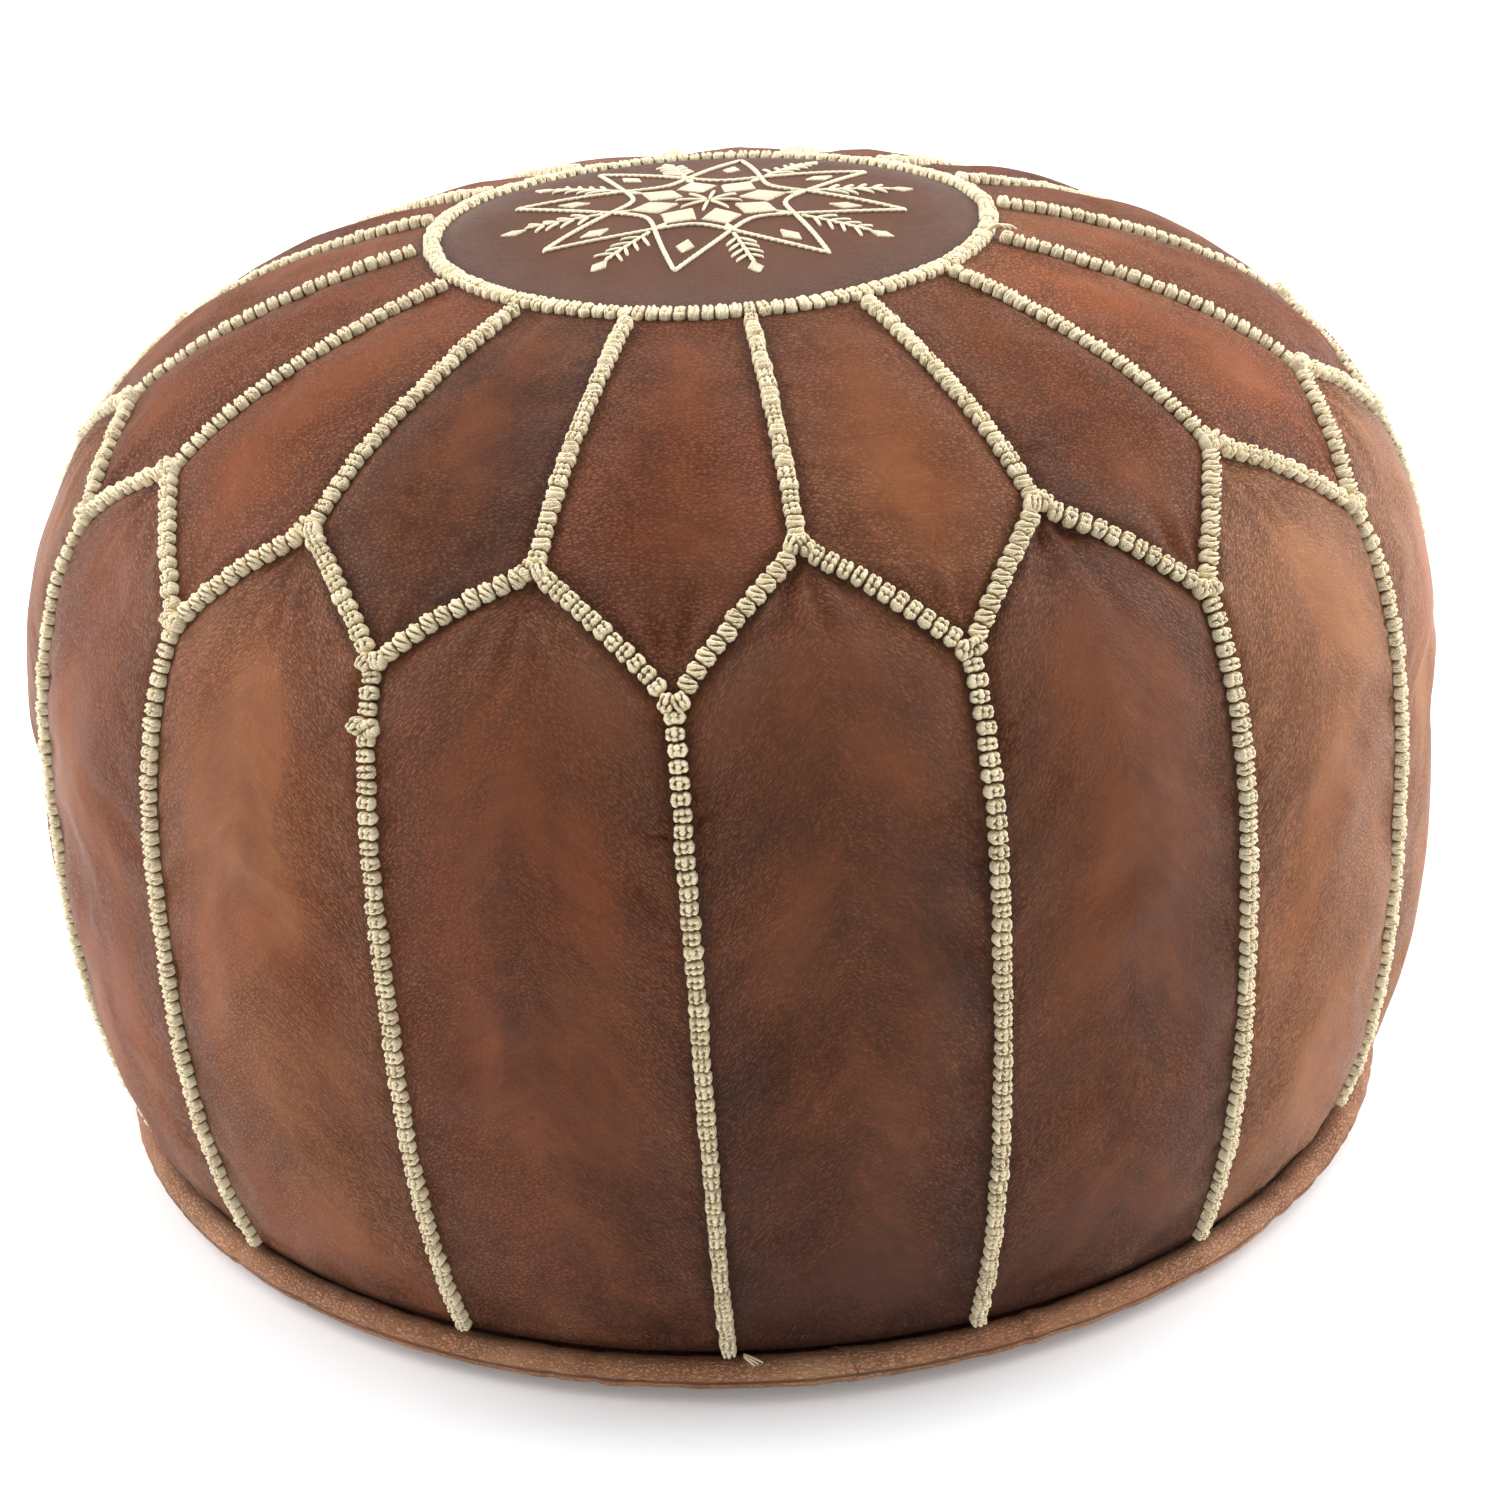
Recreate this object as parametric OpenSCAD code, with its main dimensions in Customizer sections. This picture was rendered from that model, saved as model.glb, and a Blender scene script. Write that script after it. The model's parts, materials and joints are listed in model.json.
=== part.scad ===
// Round leather floor pouf: a star medallion, sixteen petals and sixteen pointed side panels,
// joined by raised silk braids, on a piped base that opens with a zip.
// The frame has +Z up, the floor at z = 0 and the front at -Y.

/* [Overall] */
// Widest diameter of the leather, at the belly
diameter = 530; // [480:5:580]
// Height of the leather at the centre of the top
height = 351; // [335:1:370]
// How much of that height is the soft crown of the stuffing
crown_h = 9; // [4:1:12]
// How far from the centre the crown spreads
crown_spread = 130; // [110:5:150]
// Height of the widest ring above the floor
belly_z = 150; // [140:2:165]
// How square the shoulder is: 2 is an ellipse
shoulder_power = 2.95; // [2.6:0.05:3.2]
// How upright the wall below the belly is
wall_power = 2.5; // [2.3:0.05:2.8]
// Depth below the belly at which the wall curve would close
wall_depth = 260; // [245:5:300]

/* [Leather] */
// Thickness of the leather with its glued backing
leather = 2; // [1.5:0.1:2.5]
// Gap between the cut edges of two panels
edge_gap = 0.6; // [0.4:0.1:1]
// Gap between the leather and the stuffing
stuffing_gap = 0.3; // [0.2:0.1:0.6]

/* [Panels] */
// Number of petals, and of side panels
panel_count = 16; // [12:2:18]
// Direction of the first petal seam, from the front towards +X
first_seam = -16.1; // [-20:0.1:0]
// Radius of the seam around the medallion
ring_radius = 101.5; // [90:0.5:110]
// Height of the side panels' upper points
high_z = 298; // [290:1:304]
// Height of the petals' lower points
low_z = 268; // [255:1:275]

/* [Braids] */
// Width of the braid over the petal and side seams
braid_width = 7; // [5:0.5:9]
// Width of the braid around the medallion
ring_braid_width = 9; // [7:0.5:11]
// How far a braid stands proud of the leather
braid_height = 3.6; // [2.5:0.1:4.5]

/* [Embroidery] */
// Points of the star
star_points = 8; // [6:1:10]
// Radius of the star's points
star_radius = 71; // [66:1:74]
// Radius of the notches between the points
star_notch = 47; // [42:1:52]
// Width of the stitched star line
star_line = 3.4; // [2.5:0.1:4]
// Radius of the fern sprigs' tips
fern_radius = 77; // [75:1:84]
// Thickness of the embroidery thread
thread = 1.1; // [0.8:0.1:1.5]

/* [Base] */
// Radius of the piping roll's centre line
piping_ring = 243; // [225:1:250]
// Height of the piping roll's centre line
piping_z = 10.5; // [9:0.5:12]
// Radius of the piping roll
piping_radius = 6; // [5:0.5:7]
// Radius of the flat of the base
flat_radius = 204; // [190:1:210]

/* [Zip] */
// Length of the zip between its stops
zip_length = 348; // [300:2:360]
// How far the base rises along the zip
zip_rise = 5; // [5:0.1:6]
// Half of the opening between the two folded base edges
zip_slot = 7; // [6.5:0.5:9]
// Length of the pull tab
pull_length = 26; // [20:1:30]

/* [Hidden] */

$fn = 96;
belly_r = diameter / 2;
dome_h = height - crown_h - belly_z;
step = 360 / panel_count;
half = step / 2;
// The panels reach down to just above the piping.
panel_foot_z = piping_z + piping_radius + 0.6;
centre = [0, 0, belly_z];

// Heights of the zip's layers, from the floor up
pull_thick = 1.2;
pull_z = 1.5;
plate_low_z = 3.2;
plate_thick = 1;
coil_z = plate_low_z + plate_thick + 0.3;
coil_thick = 2.2;
tape_z = zip_rise + leather;
tape_thick = 0.8;
plate_high_z = tape_z + tape_thick + 0.4;
slider_length = 11;
slider_half_w = 4.4;
bridge_bore = 0.7;
pull_pin = 0.62;
slider_x = zip_length / 2 - 11;
bridge_x = slider_x - 1;

function two_digits(i) = i < 10 ? str("0", i) : str(i);

// The leather's outer curve, walked by an angle: 90 at the top's centre, 0 at the belly, negative below.
// It is a squared ellipse with the crown added on top.
function curve_power(t) = t >= 0 ? shoulder_power : wall_power;
function curve_depth(t) = t >= 0 ? dome_h : wall_depth;
function angle_at_z(z) = z >= belly_z
    ? asin(pow((z - belly_z) / dome_h, shoulder_power / 2))
    : -asin(pow((belly_z - z) / wall_depth, wall_power / 2));
function angle_at_r(r) = acos(pow(r / belly_r, shoulder_power / 2));
function crown(r) = crown_h * exp(-pow(r / crown_spread, 2));
function crown_slope(r) = -2 * r / pow(crown_spread, 2) * crown(r);
function curve_radius(t) = belly_r * pow(cos(t), 2 / curve_power(t));
function curve_normal(t) = let (
    n = curve_power(t),
    r = curve_radius(t),
    up = sign(t) * pow(pow(abs(sin(t)), 2 / n), n - 1) / curve_depth(t),
    across = pow(r / belly_r, n - 1) / belly_r - (t > 0 ? crown_slope(r) * up : 0)
) [across, up] / norm([across, up]);
function curve_point(t, lift) = let (
    r = curve_radius(t),
    z = belly_z + sign(t) * curve_depth(t) * pow(abs(sin(t)), 2 / curve_power(t))
) [r, z + (t > 0 ? crown(r) - crown(belly_r) : 0)] + lift * curve_normal(t);
function around(point, angle) = [point[0] * sin(angle), -point[0] * cos(angle), point[1]];
function on_skin(angle, z, lift) = around(curve_point(angle_at_z(z), lift), angle);
function blend(from, to, steps) = [for (i = [0:steps]) from + (to - from) * i / steps];

function petal_angle(i) = first_seam + (i - 0.5) * step;
function panel_angle(i) = first_seam + (i - 1) * step;

// A strip of the outer curve between two angles and two lifts
module skin_section(from, to, low, high, steps) {
    outer = [for (t = blend(from, to, steps)) curve_point(t, high)];
    inner = [for (t = blend(to, from, steps)) curve_point(t, low)];
    polygon(concat(outer, inner));
}

// A round shell of leather over one panel's width, centred on the given direction
module skin_sector(angle, width, from, to, steps) {
    rotate([0, 0, angle - 90 - width / 2])
        rotate_extrude(angle = width)
            skin_section(from, to, -leather, 0, steps);
}

function far(angle, z) = centre + 1.5 * (on_skin(angle, z, 0) - centre);

// The directions that a petal covers, seen from the middle of the pouf
module petal_wedge(angle) {
    inset = edge_gap / 2 / sin(half);
    translate([inset * sin(angle), -inset * cos(angle), edge_gap])
        polyhedron(
            points = [
                centre,
                far(angle - half, high_z),
                far(angle, low_z),
                far(angle + half, high_z),
                centre + [0, 0, 2 * height]
            ],
            faces = [[0, 1, 2], [0, 2, 3], [0, 3, 4], [0, 4, 1], [1, 4, 3], [1, 3, 2]]
        );
}

// The directions that a side panel covers: five sides with the point up
module panel_wedge(angle) {
    inset = edge_gap / 2 / sin(half);
    low = [1.5 * belly_r, -belly_r];
    translate([inset * sin(angle), -inset * cos(angle), -edge_gap])
        polyhedron(
            points = [
                centre,
                far(angle, high_z),
                far(angle - half, low_z),
                around(low, angle - half),
                around(low, angle + half),
                far(angle + half, low_z)
            ],
            faces = [
                [0, 2, 1], [0, 3, 2], [0, 4, 3], [0, 5, 4], [0, 1, 5],
                [1, 2, 5], [2, 3, 5], [3, 4, 5]
            ]
        );
}

module upper_petal(i) {
    color("#8a4526")
        intersection() {
            skin_sector(
                petal_angle(i), step + 2,
                angle_at_z(low_z - 8), angle_at_r(ring_radius + edge_gap / 2), 12
            );
            petal_wedge(petal_angle(i));
        }
}

module side_panel(i) {
    color("#a8683c")
        intersection() {
            skin_sector(panel_angle(i), step + 2, angle_at_z(panel_foot_z), angle_at_z(high_z + 4), 16);
            panel_wedge(panel_angle(i));
        }
}

module medallion() {
    color("#6f4436")
        rotate_extrude()
            skin_section(angle_at_r(ring_radius - edge_gap / 2), 90, -leather, 0, 8);
}

// ---- embroidery on the medallion ----

// The raised layer of thread that lies on the medallion
module thread_layer() {
    rotate_extrude()
        skin_section(angle_at_r(ring_radius - 8), 90, 0.1, 0.1 + thread, 8);
}

module on_medallion() {
    intersection() {
        thread_layer();
        translate([0, 0, height - 20])
            linear_extrude(40)
                children();
    }
}

// A sharp-ended lozenge along +X, from one radius to another
module lozenge(from, to, width) {
    middle = (from + to) / 2;
    polygon([[from, 0], [middle, -width / 2], [to, 0], [middle, width / 2]]);
}

star_turn = -90 - 10.5;

module star_shape(shrink) {
    polygon([
        for (i = [0 : 2 * star_points - 1])
            let (r = (i % 2 == 0 ? star_radius - 1.6 * shrink : star_notch - shrink), a = i * 180 / star_points)
                [r * cos(a), r * sin(a)]
    ]);
}

module star_embroidery() {
    color("#e9dcc4")
        on_medallion()
            rotate(star_turn) {
                difference() {
                    star_shape(0);
                    star_shape(star_line);
                }
                for (i = [1:star_points])
                    rotate(i * 360 / star_points)
                        lozenge(50, 61, 6);
            }
}

module fern_embroidery() {
    stem_from = star_notch + 2;
    color("#e9dcc4")
        on_medallion()
            for (i = [1:star_points])
                rotate(star_turn + (i + 0.5) * 360 / star_points) {
                    translate([stem_from, -0.6])
                        square([fern_radius - stem_from - 6, 1.2]);
                    translate([fern_radius - 8, 0])
                        lozenge(0, 8, 4.4);
                    for (along = [6, 11, 16], side = [-1, 1])
                        translate([stem_from + along, side * 0.4])
                            rotate(side * 48)
                                square([7, 1.3]);
                }
}

module rosette_embroidery() {
    color("#e9dcc4")
        on_medallion()
            for (i = [1:star_points])
                rotate(star_turn + i * 360 / star_points) {
                    lozenge(15, 36, 9);
                    rotate(180 / star_points)
                        translate([2, -0.6])
                            square([11, 1.2]);
                }
}

// ---- braids over the seams ----

module medallion_ring_braid() {
    slope = angle_at_r(ring_radius);
    seat = curve_point(slope, 0.15);
    up = curve_normal(slope);
    along = [up[1], -up[0]];
    rise = blend(0, 180, 10);
    color("#efe6d2")
        rotate_extrude()
            polygon([
                for (a = rise)
                    seat + along * cos(a) * ring_braid_width / 2 + up * sin(a) * braid_height
            ]);
}

// A band that follows the outer curve in one upright plane
module meridian_band(angle, from, to, steps) {
    rotate([0, 0, angle - 90])
        rotate([90, 0, 0])
            linear_extrude(braid_width, center = true)
                skin_section(from, to, 0.15, braid_height, steps);
}

module radial_seam_braids() {
    color("#efe6d2")
        for (i = [1:panel_count])
            meridian_band(
                panel_angle(i),
                angle_at_z(high_z) + 1.2,
                angle_at_r(ring_radius + ring_braid_width / 2 + 1),
                10
            );
}

module side_seam_braids() {
    color("#efe6d2")
        for (i = [1:panel_count])
            meridian_band(petal_angle(i), angle_at_z(panel_foot_z + 1), angle_at_z(low_z - 6), 16);
}

// One straight run of the zigzag, swept along the leather from a high point to a low one
module zigzag_run(high_angle, low_angle) {
    stations = blend(0.14, 0.86, 6);
    width = braid_width - 1;
    section = [
        [-0.5, 0.04], [0.5, 0.04], [0.42, 0.6], [0.22, 1], [-0.22, 1], [-0.42, 0.6]
    ];
    corners = len(section);
    rings = [
        for (s = stations) let (
            z = high_z + s * (low_z - high_z),
            a = high_angle + s * (low_angle - high_angle),
            foot = on_skin(a, z, 0),
            up = on_skin(a, z, 1) - foot,
            ahead = on_skin(low_angle, low_z, 0) - on_skin(high_angle, high_z, 0),
            side = cross(up, ahead) / norm(cross(up, ahead))
        )
            for (p = section)
                foot + side * p[0] * width + up * (0.1 + p[1] * braid_height)
    ];
    last = (len(stations) - 1) * corners;
    flip = high_angle < low_angle;
    walls = [
        for (s = [0 : len(stations) - 2], c = [0 : corners - 1]) let (
            a = s * corners + c,
            b = s * corners + (c + 1) % corners,
            d = a + corners,
            e = b + corners
        )
            each [[a, b, e], [a, e, d]]
    ];
    caps = [[for (c = [corners - 1 : -1 : 0]) c], [for (c = [0 : corners - 1]) last + c]];
    polyhedron(points = rings, faces = concat(walls, caps));
}

module zigzag_seam_braids() {
    color("#efe6d2")
        for (i = [1:panel_count], side = [-1, 1])
            zigzag_run(panel_angle(i), panel_angle(i) + side * half);
}

// ---- base, piping and stuffing ----

piping_joint = 8;

module piping_tube(outer, inner, from, sweep) {
    rotate([0, 0, from - 90])
        rotate_extrude(angle = sweep)
            translate([piping_ring, piping_z])
                difference() {
                    circle(outer, $fn = 32);
                    circle(inner, $fn = 32);
                }
}

module piping_cover(from) {
    color("#b07a4c")
        piping_tube(piping_radius, piping_radius - 1.4, from + 0.1, 179.8);
}

module piping_cord() {
    color("#d8ccb4")
        rotate_extrude()
            translate([piping_ring, piping_z])
                circle(piping_radius - 1.7, $fn = 32);
}

function smooth(x) = let (c = min(1, max(0, x))) c * c * (3 - 2 * c);
edge_radius = piping_ring - piping_radius - 0.6;
rim_rise = piping_z - leather / 2;
channel_foot = 36;
channel_end = zip_length / 2 + 44;
channel_fade = 28;

// Height of the base's lower face: flat, turned up at the rim and raised along the zip
function base_z(x, y) = max(
    rim_rise * smooth((norm([x, y]) - flat_radius) / (edge_radius - flat_radius)),
    zip_rise * smooth((channel_foot - abs(y)) / (channel_foot - zip_slot - 5))
        * smooth((channel_end - abs(x)) / channel_fade)
);

// The halves part along the zip and meet in a plain seam beyond its ends.
function slot_edge(x) = edge_gap / 2
    + (zip_slot - edge_gap / 2) * smooth((zip_length / 2 + 28 - abs(x)) / 16);

// Rows of the base's grid at one place along the zip: close together on the channel and at the rim
function base_rows(x) = let (
    start = slot_edge(x),
    end = sqrt(pow(edge_radius, 2) - x * x),
    span = end - start,
    ramp = start + min(channel_foot - zip_slot, 0.4 * span),
    rim = max(ramp + 0.2 * span, sqrt(max(0, pow(flat_radius - 2, 2) - x * x)))
) concat(blend(start, ramp, ramp_rows), blend(rim, end, rim_rows));
ramp_rows = 6;
rim_rows = 6;

// Half of the base on the rear side, as a grid between the zip edge and the rim
module base_half() {
    across = 48;
    deep = ramp_rows + rim_rows + 1;
    last_turn = acos(edge_gap / 2 / edge_radius);
    grid = [
        for (i = blend(-1, 1, across)) let (x = edge_radius * sin(last_turn * i))
            for (y = base_rows(x))
                [x, y, base_z(x, y)]
    ];
    count = len(grid);
    row = deep + 1;
    points = concat(grid, [for (p = grid) p + [0, 0, leather]]);
    cells = [for (i = [0 : across - 1], j = [0 : deep - 1]) i * row + j];
    lower = [for (a = cells) each [[a, a + 1, a + row + 1], [a, a + row + 1, a + row]]];
    upper = [for (f = lower) [f[2] + count, f[1] + count, f[0] + count]];
    border = concat(
        [for (i = [0 : across - 1]) i * row],
        [for (j = [0 : deep - 1]) across * row + j],
        [for (i = [across : -1 : 1]) i * row + deep],
        [for (j = [deep : -1 : 1]) j]
    );
    size = len(border);
    sides = [
        for (k = [0 : size - 1]) let (a = border[k], b = border[(k + 1) % size])
            each [[a, b, b + count], [a, b + count, a + count]]
    ];
    polyhedron(points = points, faces = concat(lower, upper, sides));
}

module base_panel_rear() {
    color("#9c6238") base_half();
}

module base_panel_front() {
    color("#9c6238") mirror([0, 1, 0]) base_half();
}

// The filling: a plump solid just inside the leather, with a groove over the zip
module stuffing() {
    inside = -leather - stuffing_gap;
    floor_z = leather + stuffing_gap;
    rim_gap = 0.8;
    top_of_base = rim_rise + floor_z + rim_gap;
    color("#e4ddcf")
        difference() {
            rotate_extrude()
                polygon(concat(
                    [[0, floor_z], [flat_radius - 6, floor_z]],
                    [for (r = blend(flat_radius + 2, edge_radius - 4, 5)) [r, base_z(0, r) + floor_z + rim_gap]],
                    [[edge_radius - 3, top_of_base], [edge_radius - 1, top_of_base + 6]],
                    [for (t = blend(angle_at_z(panel_foot_z + 1), 90, 28)) curve_point(t, inside)]
                ));
            translate([-channel_end, -channel_foot, 0])
                cube([2 * channel_end, 2 * channel_foot, plate_high_z + plate_thick + 0.6]);
        }
}

// ---- zip ----

zip_half = zip_length / 2;

module zip_tape(side) {
    color("#2b2320")
        translate([-zip_half - 16, side > 0 ? 0.6 : -0.6 - 17.4, tape_z + 0.05])
            cube([zip_length + 32, 17.4, tape_thick]);
}

module zip_coil(side) {
    color("#3a302b")
        translate([-zip_half, side * 1.7, coil_z + coil_thick / 2])
            rotate([0, 90, 0])
                cylinder(h = zip_length, r = coil_thick / 2, $fn = 24);
}

module slider_plate(z) {
    translate([slider_x - slider_length / 2, -slider_half_w, z])
        cube([slider_length, 2 * slider_half_w, plate_thick]);
}

// Low and high plates, their side lips, the thin neck between them and the bridge for the pull
module zip_slider() {
    lip = 0.8;
    neck = 0.5;
    low_top = plate_low_z + plate_thick;
    color("#b08d4a")
        difference() {
            union() {
                slider_plate(plate_low_z);
                slider_plate(plate_high_z);
                for (y = [-slider_half_w, slider_half_w - lip])
                    translate([slider_x - slider_length / 2, y, low_top - 0.1])
                        cube([slider_length, lip, tape_z - 0.3 - low_top + 0.1]);
                translate([slider_x + 1, -neck / 2, low_top - 0.1])
                    cube([3, neck, plate_high_z - low_top + 0.2]);
                translate([bridge_x - 2.2, -1.2, pull_z - 1.1])
                    cube([4.4, 2.4, plate_low_z - pull_z + 1.2]);
            }
            translate([bridge_x, 0, pull_z])
                rotate([90, 0, 0])
                    cylinder(h = 6, r = bridge_bore, center = true, $fn = 32);
        }
}

// A flat tab with two arms that meet in a pin through the slider's bridge
module zip_pull() {
    arm = 1.3;
    inner = 1.5;
    outer = inner + arm;
    eye = 5;
    color("#b08d4a")
        union() {
            translate([bridge_x, 0, pull_z])
                rotate([90, 0, 0])
                    cylinder(h = 2 * outer, r = pull_pin, center = true, $fn = 32);
            for (y = [-outer, inner])
                translate([bridge_x - eye, y, pull_z - pull_thick / 2])
                    cube([eye + pull_pin, arm, pull_thick]);
            translate([bridge_x - pull_length, -outer, pull_z - pull_thick / 2])
                difference() {
                    cube([pull_length - eye + 0.1, 2 * outer, pull_thick]);
                    translate([3.4, outer, -1])
                        cylinder(h = 4, r = 1.4, $fn = 32);
                }
        }
}

module zip_top_stops() {
    color("#b08d4a")
        for (y = [-2.9, 0.5])
            translate([zip_half + 0.4, y, coil_z])
                cube([3, 2.4, coil_thick]);
}

module zip_bottom_stop() {
    color("#b08d4a")
        translate([-zip_half - 3.6, -3.1, coil_z])
            cube([3.2, 6.2, coil_thick]);
}

// Two rows of stitches that hold the tape to the folded base edges
module zip_stitches() {
    pitch = 8;
    rows = floor(zip_half / pitch);
    color("#caa878")
        for (k = [-rows : rows], side = [-1, 1])
            translate([k * pitch - 2, side * (zip_slot + 2.5), zip_rise - 0.45])
                rotate([0, 90, 0])
                    cylinder(h = 4, r = 0.35, $fn = 16);
}

medallion();
star_embroidery();
fern_embroidery();
rosette_embroidery();
medallion_ring_braid();
for (i = [1:panel_count])
    upper_petal(i);
for (i = [1:panel_count])
    side_panel(i);
radial_seam_braids();
zigzag_seam_braids();
side_seam_braids();
piping_cover(piping_joint + 180);  // piping_cover_left
piping_cover(piping_joint);  // piping_cover_right
piping_cord();
base_panel_front();
base_panel_rear();
zip_tape(-1);  // zip_tape_front
zip_tape(1);  // zip_tape_rear
zip_coil(-1);  // zip_coil_front
zip_coil(1);  // zip_coil_rear
zip_slider();
zip_pull();
zip_top_stops();
zip_bottom_stop();
zip_stitches();
stuffing();
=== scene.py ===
"""Looks of the leather pouf: sixteen petals and sixteen side panels of waxed goat leather,
silk knots over every seam, an embroidered medallion, a piped base and its zip.
The front faces -Y, and directions around the pouf run from the front towards +X."""

import json
import math

import bpy
import numpy as np
from mathutils import Matrix, Vector, noise


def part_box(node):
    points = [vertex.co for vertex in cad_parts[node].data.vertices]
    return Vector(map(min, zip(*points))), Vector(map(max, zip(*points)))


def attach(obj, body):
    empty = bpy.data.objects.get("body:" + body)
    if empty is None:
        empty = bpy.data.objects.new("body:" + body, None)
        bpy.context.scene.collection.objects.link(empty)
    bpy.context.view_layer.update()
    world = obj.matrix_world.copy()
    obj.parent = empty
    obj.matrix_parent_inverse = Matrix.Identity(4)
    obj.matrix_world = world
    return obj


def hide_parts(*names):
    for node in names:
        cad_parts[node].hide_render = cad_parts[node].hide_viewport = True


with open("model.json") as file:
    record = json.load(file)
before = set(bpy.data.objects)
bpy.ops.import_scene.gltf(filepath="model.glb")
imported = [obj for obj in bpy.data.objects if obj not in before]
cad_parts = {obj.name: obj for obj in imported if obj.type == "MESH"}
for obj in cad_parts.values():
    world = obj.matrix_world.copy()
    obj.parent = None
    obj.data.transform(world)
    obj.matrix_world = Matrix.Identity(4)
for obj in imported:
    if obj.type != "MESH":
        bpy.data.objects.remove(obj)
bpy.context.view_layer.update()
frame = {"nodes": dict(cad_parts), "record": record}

MM = 0.001
COVER = "cover"
rng = np.random.default_rng(7)

# ---- driving sizes, in metres and degrees, as in the CAD model ----

PANELS = sum(name.startswith("side_panel_") for name in frame["nodes"])
STEP = 360 / PANELS
FIRST_SEAM = -16.1
MEDALLION_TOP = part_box("medallion")[1].z
BELLY_R = 265 * MM
BELLY_Z = 150 * MM
CROWN_H = 9 * MM
CROWN_SPREAD = 130 * MM
DOME_H = MEDALLION_TOP - CROWN_H - BELLY_Z
SHOULDER_POWER = 2.95
WALL_POWER = 2.5
WALL_DEPTH = 260 * MM
RING_R = 101.5 * MM
HIGH_Z = 298 * MM
LOW_Z = 268 * MM
PIPING_RING = 243 * MM
PIPING_Z = 10.5 * MM
PIPING_R = 6 * MM
FOOT_Z = PIPING_Z + PIPING_R + 0.6 * MM

# ---- how the leather and the knots sit on that shape ----

BACK_SAG = 3.2 * MM
SHEET = 1.6 * MM
SEAM_LIFT = -2.6 * MM
BRAID_FLOOR = -2.5 * MM
RING_LIFT = -1.2 * MM
CALM_REACH = 55 * MM
BRAID_HALF = 2.3 * MM


# ---- small helpers ----

def smooth(x):
    c = np.clip(x, 0, 1)
    return c * c * (3 - 2 * c)


def unit(v):
    return v / np.maximum(np.linalg.norm(v, axis=-1, keepdims=True), 1e-12)


def noise_at(points, scale, seed=0.0):
    """Smooth noise from -1 to 1 at each point, with features about scale metres across."""
    offset = Vector((seed * 13.7, seed * 7.3, seed * 3.1))
    flat = np.asarray(points, float).reshape(-1, 3) / scale
    values = [noise.noise(Vector(p) + offset) for p in flat]
    return np.array(values).reshape(np.shape(points)[:-1])


def make_object(name, verts, faces, material, smooth_shade=True):
    mesh = bpy.data.meshes.new(name)
    mesh.from_pydata(np.asarray(verts, float).tolist(), [], faces)
    mesh.update()
    mesh.polygons.foreach_set("use_smooth", [smooth_shade] * len(mesh.polygons))
    obj = bpy.data.objects.new(name, mesh)
    bpy.context.scene.collection.objects.link(obj)
    mesh.materials.append(material)
    return obj


def add_attribute(obj, name, values):
    """A number or a vector on every point, which the materials read."""
    values = np.asarray(values, np.float32)
    kind, key = ("FLOAT", "value") if values.ndim == 1 else ("FLOAT_VECTOR", "vector")
    attribute = obj.data.attributes.new(name, kind, "POINT")
    attribute.data.foreach_set(key, values.ravel())


def finish_piece(obj, nodes):
    if nodes:
        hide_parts(*nodes)
    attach(obj, COVER)


def leather_object(name, node, points, faces, material, grain, seam, tint, warmth, sheet=SHEET):
    """A piece of leather with all that its material reads on every point, and a sheet's thickness."""
    obj = make_object(name, points.reshape(-1, 3), faces, material)
    count = len(obj.data.vertices)
    add_attribute(obj, "grain", grain.reshape(-1, 3))
    add_attribute(obj, "seam", seam.ravel())
    add_attribute(obj, "tint", tint + np.zeros(count))
    add_attribute(obj, "warmth", np.full(count, warmth))
    if sheet:
        thick = obj.modifiers.new("thickness", "SOLIDIFY")
        thick.thickness = sheet
        thick.offset = -1
    finish_piece(obj, [node])


def thread_object(name, nodes, points, faces, material, local, tone):
    """Silk with the places along each strand and the tones that its material reads."""
    obj = make_object(name, points, faces, material)
    add_attribute(obj, "strand", local)
    add_attribute(obj, "tone", tone)
    finish_piece(obj, nodes)


def grid_faces(rows, columns, offset=0, wrap=False):
    """Quads of a grid of points stored row by row; wrap joins the last column to the first."""
    faces = []
    for i in range(rows - 1):
        for j in range(columns if wrap else columns - 1):
            k = (j + 1) % columns
            a = offset + i * columns
            b = a + columns
            faces.append((a + j, a + k, b + k, b + j))
    return faces


def tube_faces(rings, sides, offset=0):
    """Faces of a closed tube whose rings of points are stored one after another."""
    last = offset + (rings - 1) * sides
    caps = [tuple(range(offset, offset + sides))[::-1], tuple(range(last, last + sides))]
    return grid_faces(rings, sides, offset, wrap=True) + caps


def flipped(faces):
    return [face[::-1] for face in faces]


def tube_points(path, radius, sides, first, second):
    """Rings of points around a path, in the plane of two directions given along it."""
    phi = np.linspace(0, 2 * math.pi, sides, endpoint=False)[None, :, None]
    return path[:, None] + radius * (np.cos(phi) * first[:, None] + np.sin(phi) * second[:, None])


def path_lengths(points):
    return np.concatenate([[0], np.cumsum(np.linalg.norm(np.diff(points, axis=0), axis=1))])


def along_path(points, lengths, at):
    return np.stack([np.interp(at, lengths, column) for column in points.T], -1)


def polar(r, direction):
    """Places in plan, from radii and directions."""
    a = np.radians(direction)
    return np.stack([r * np.sin(a), -r * np.cos(a)], -1)


def at_height(plan, z):
    return np.concatenate([plan, z + 0 * plan[..., :1]], -1)


# ---- the outer curve of the pouf ----

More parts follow.
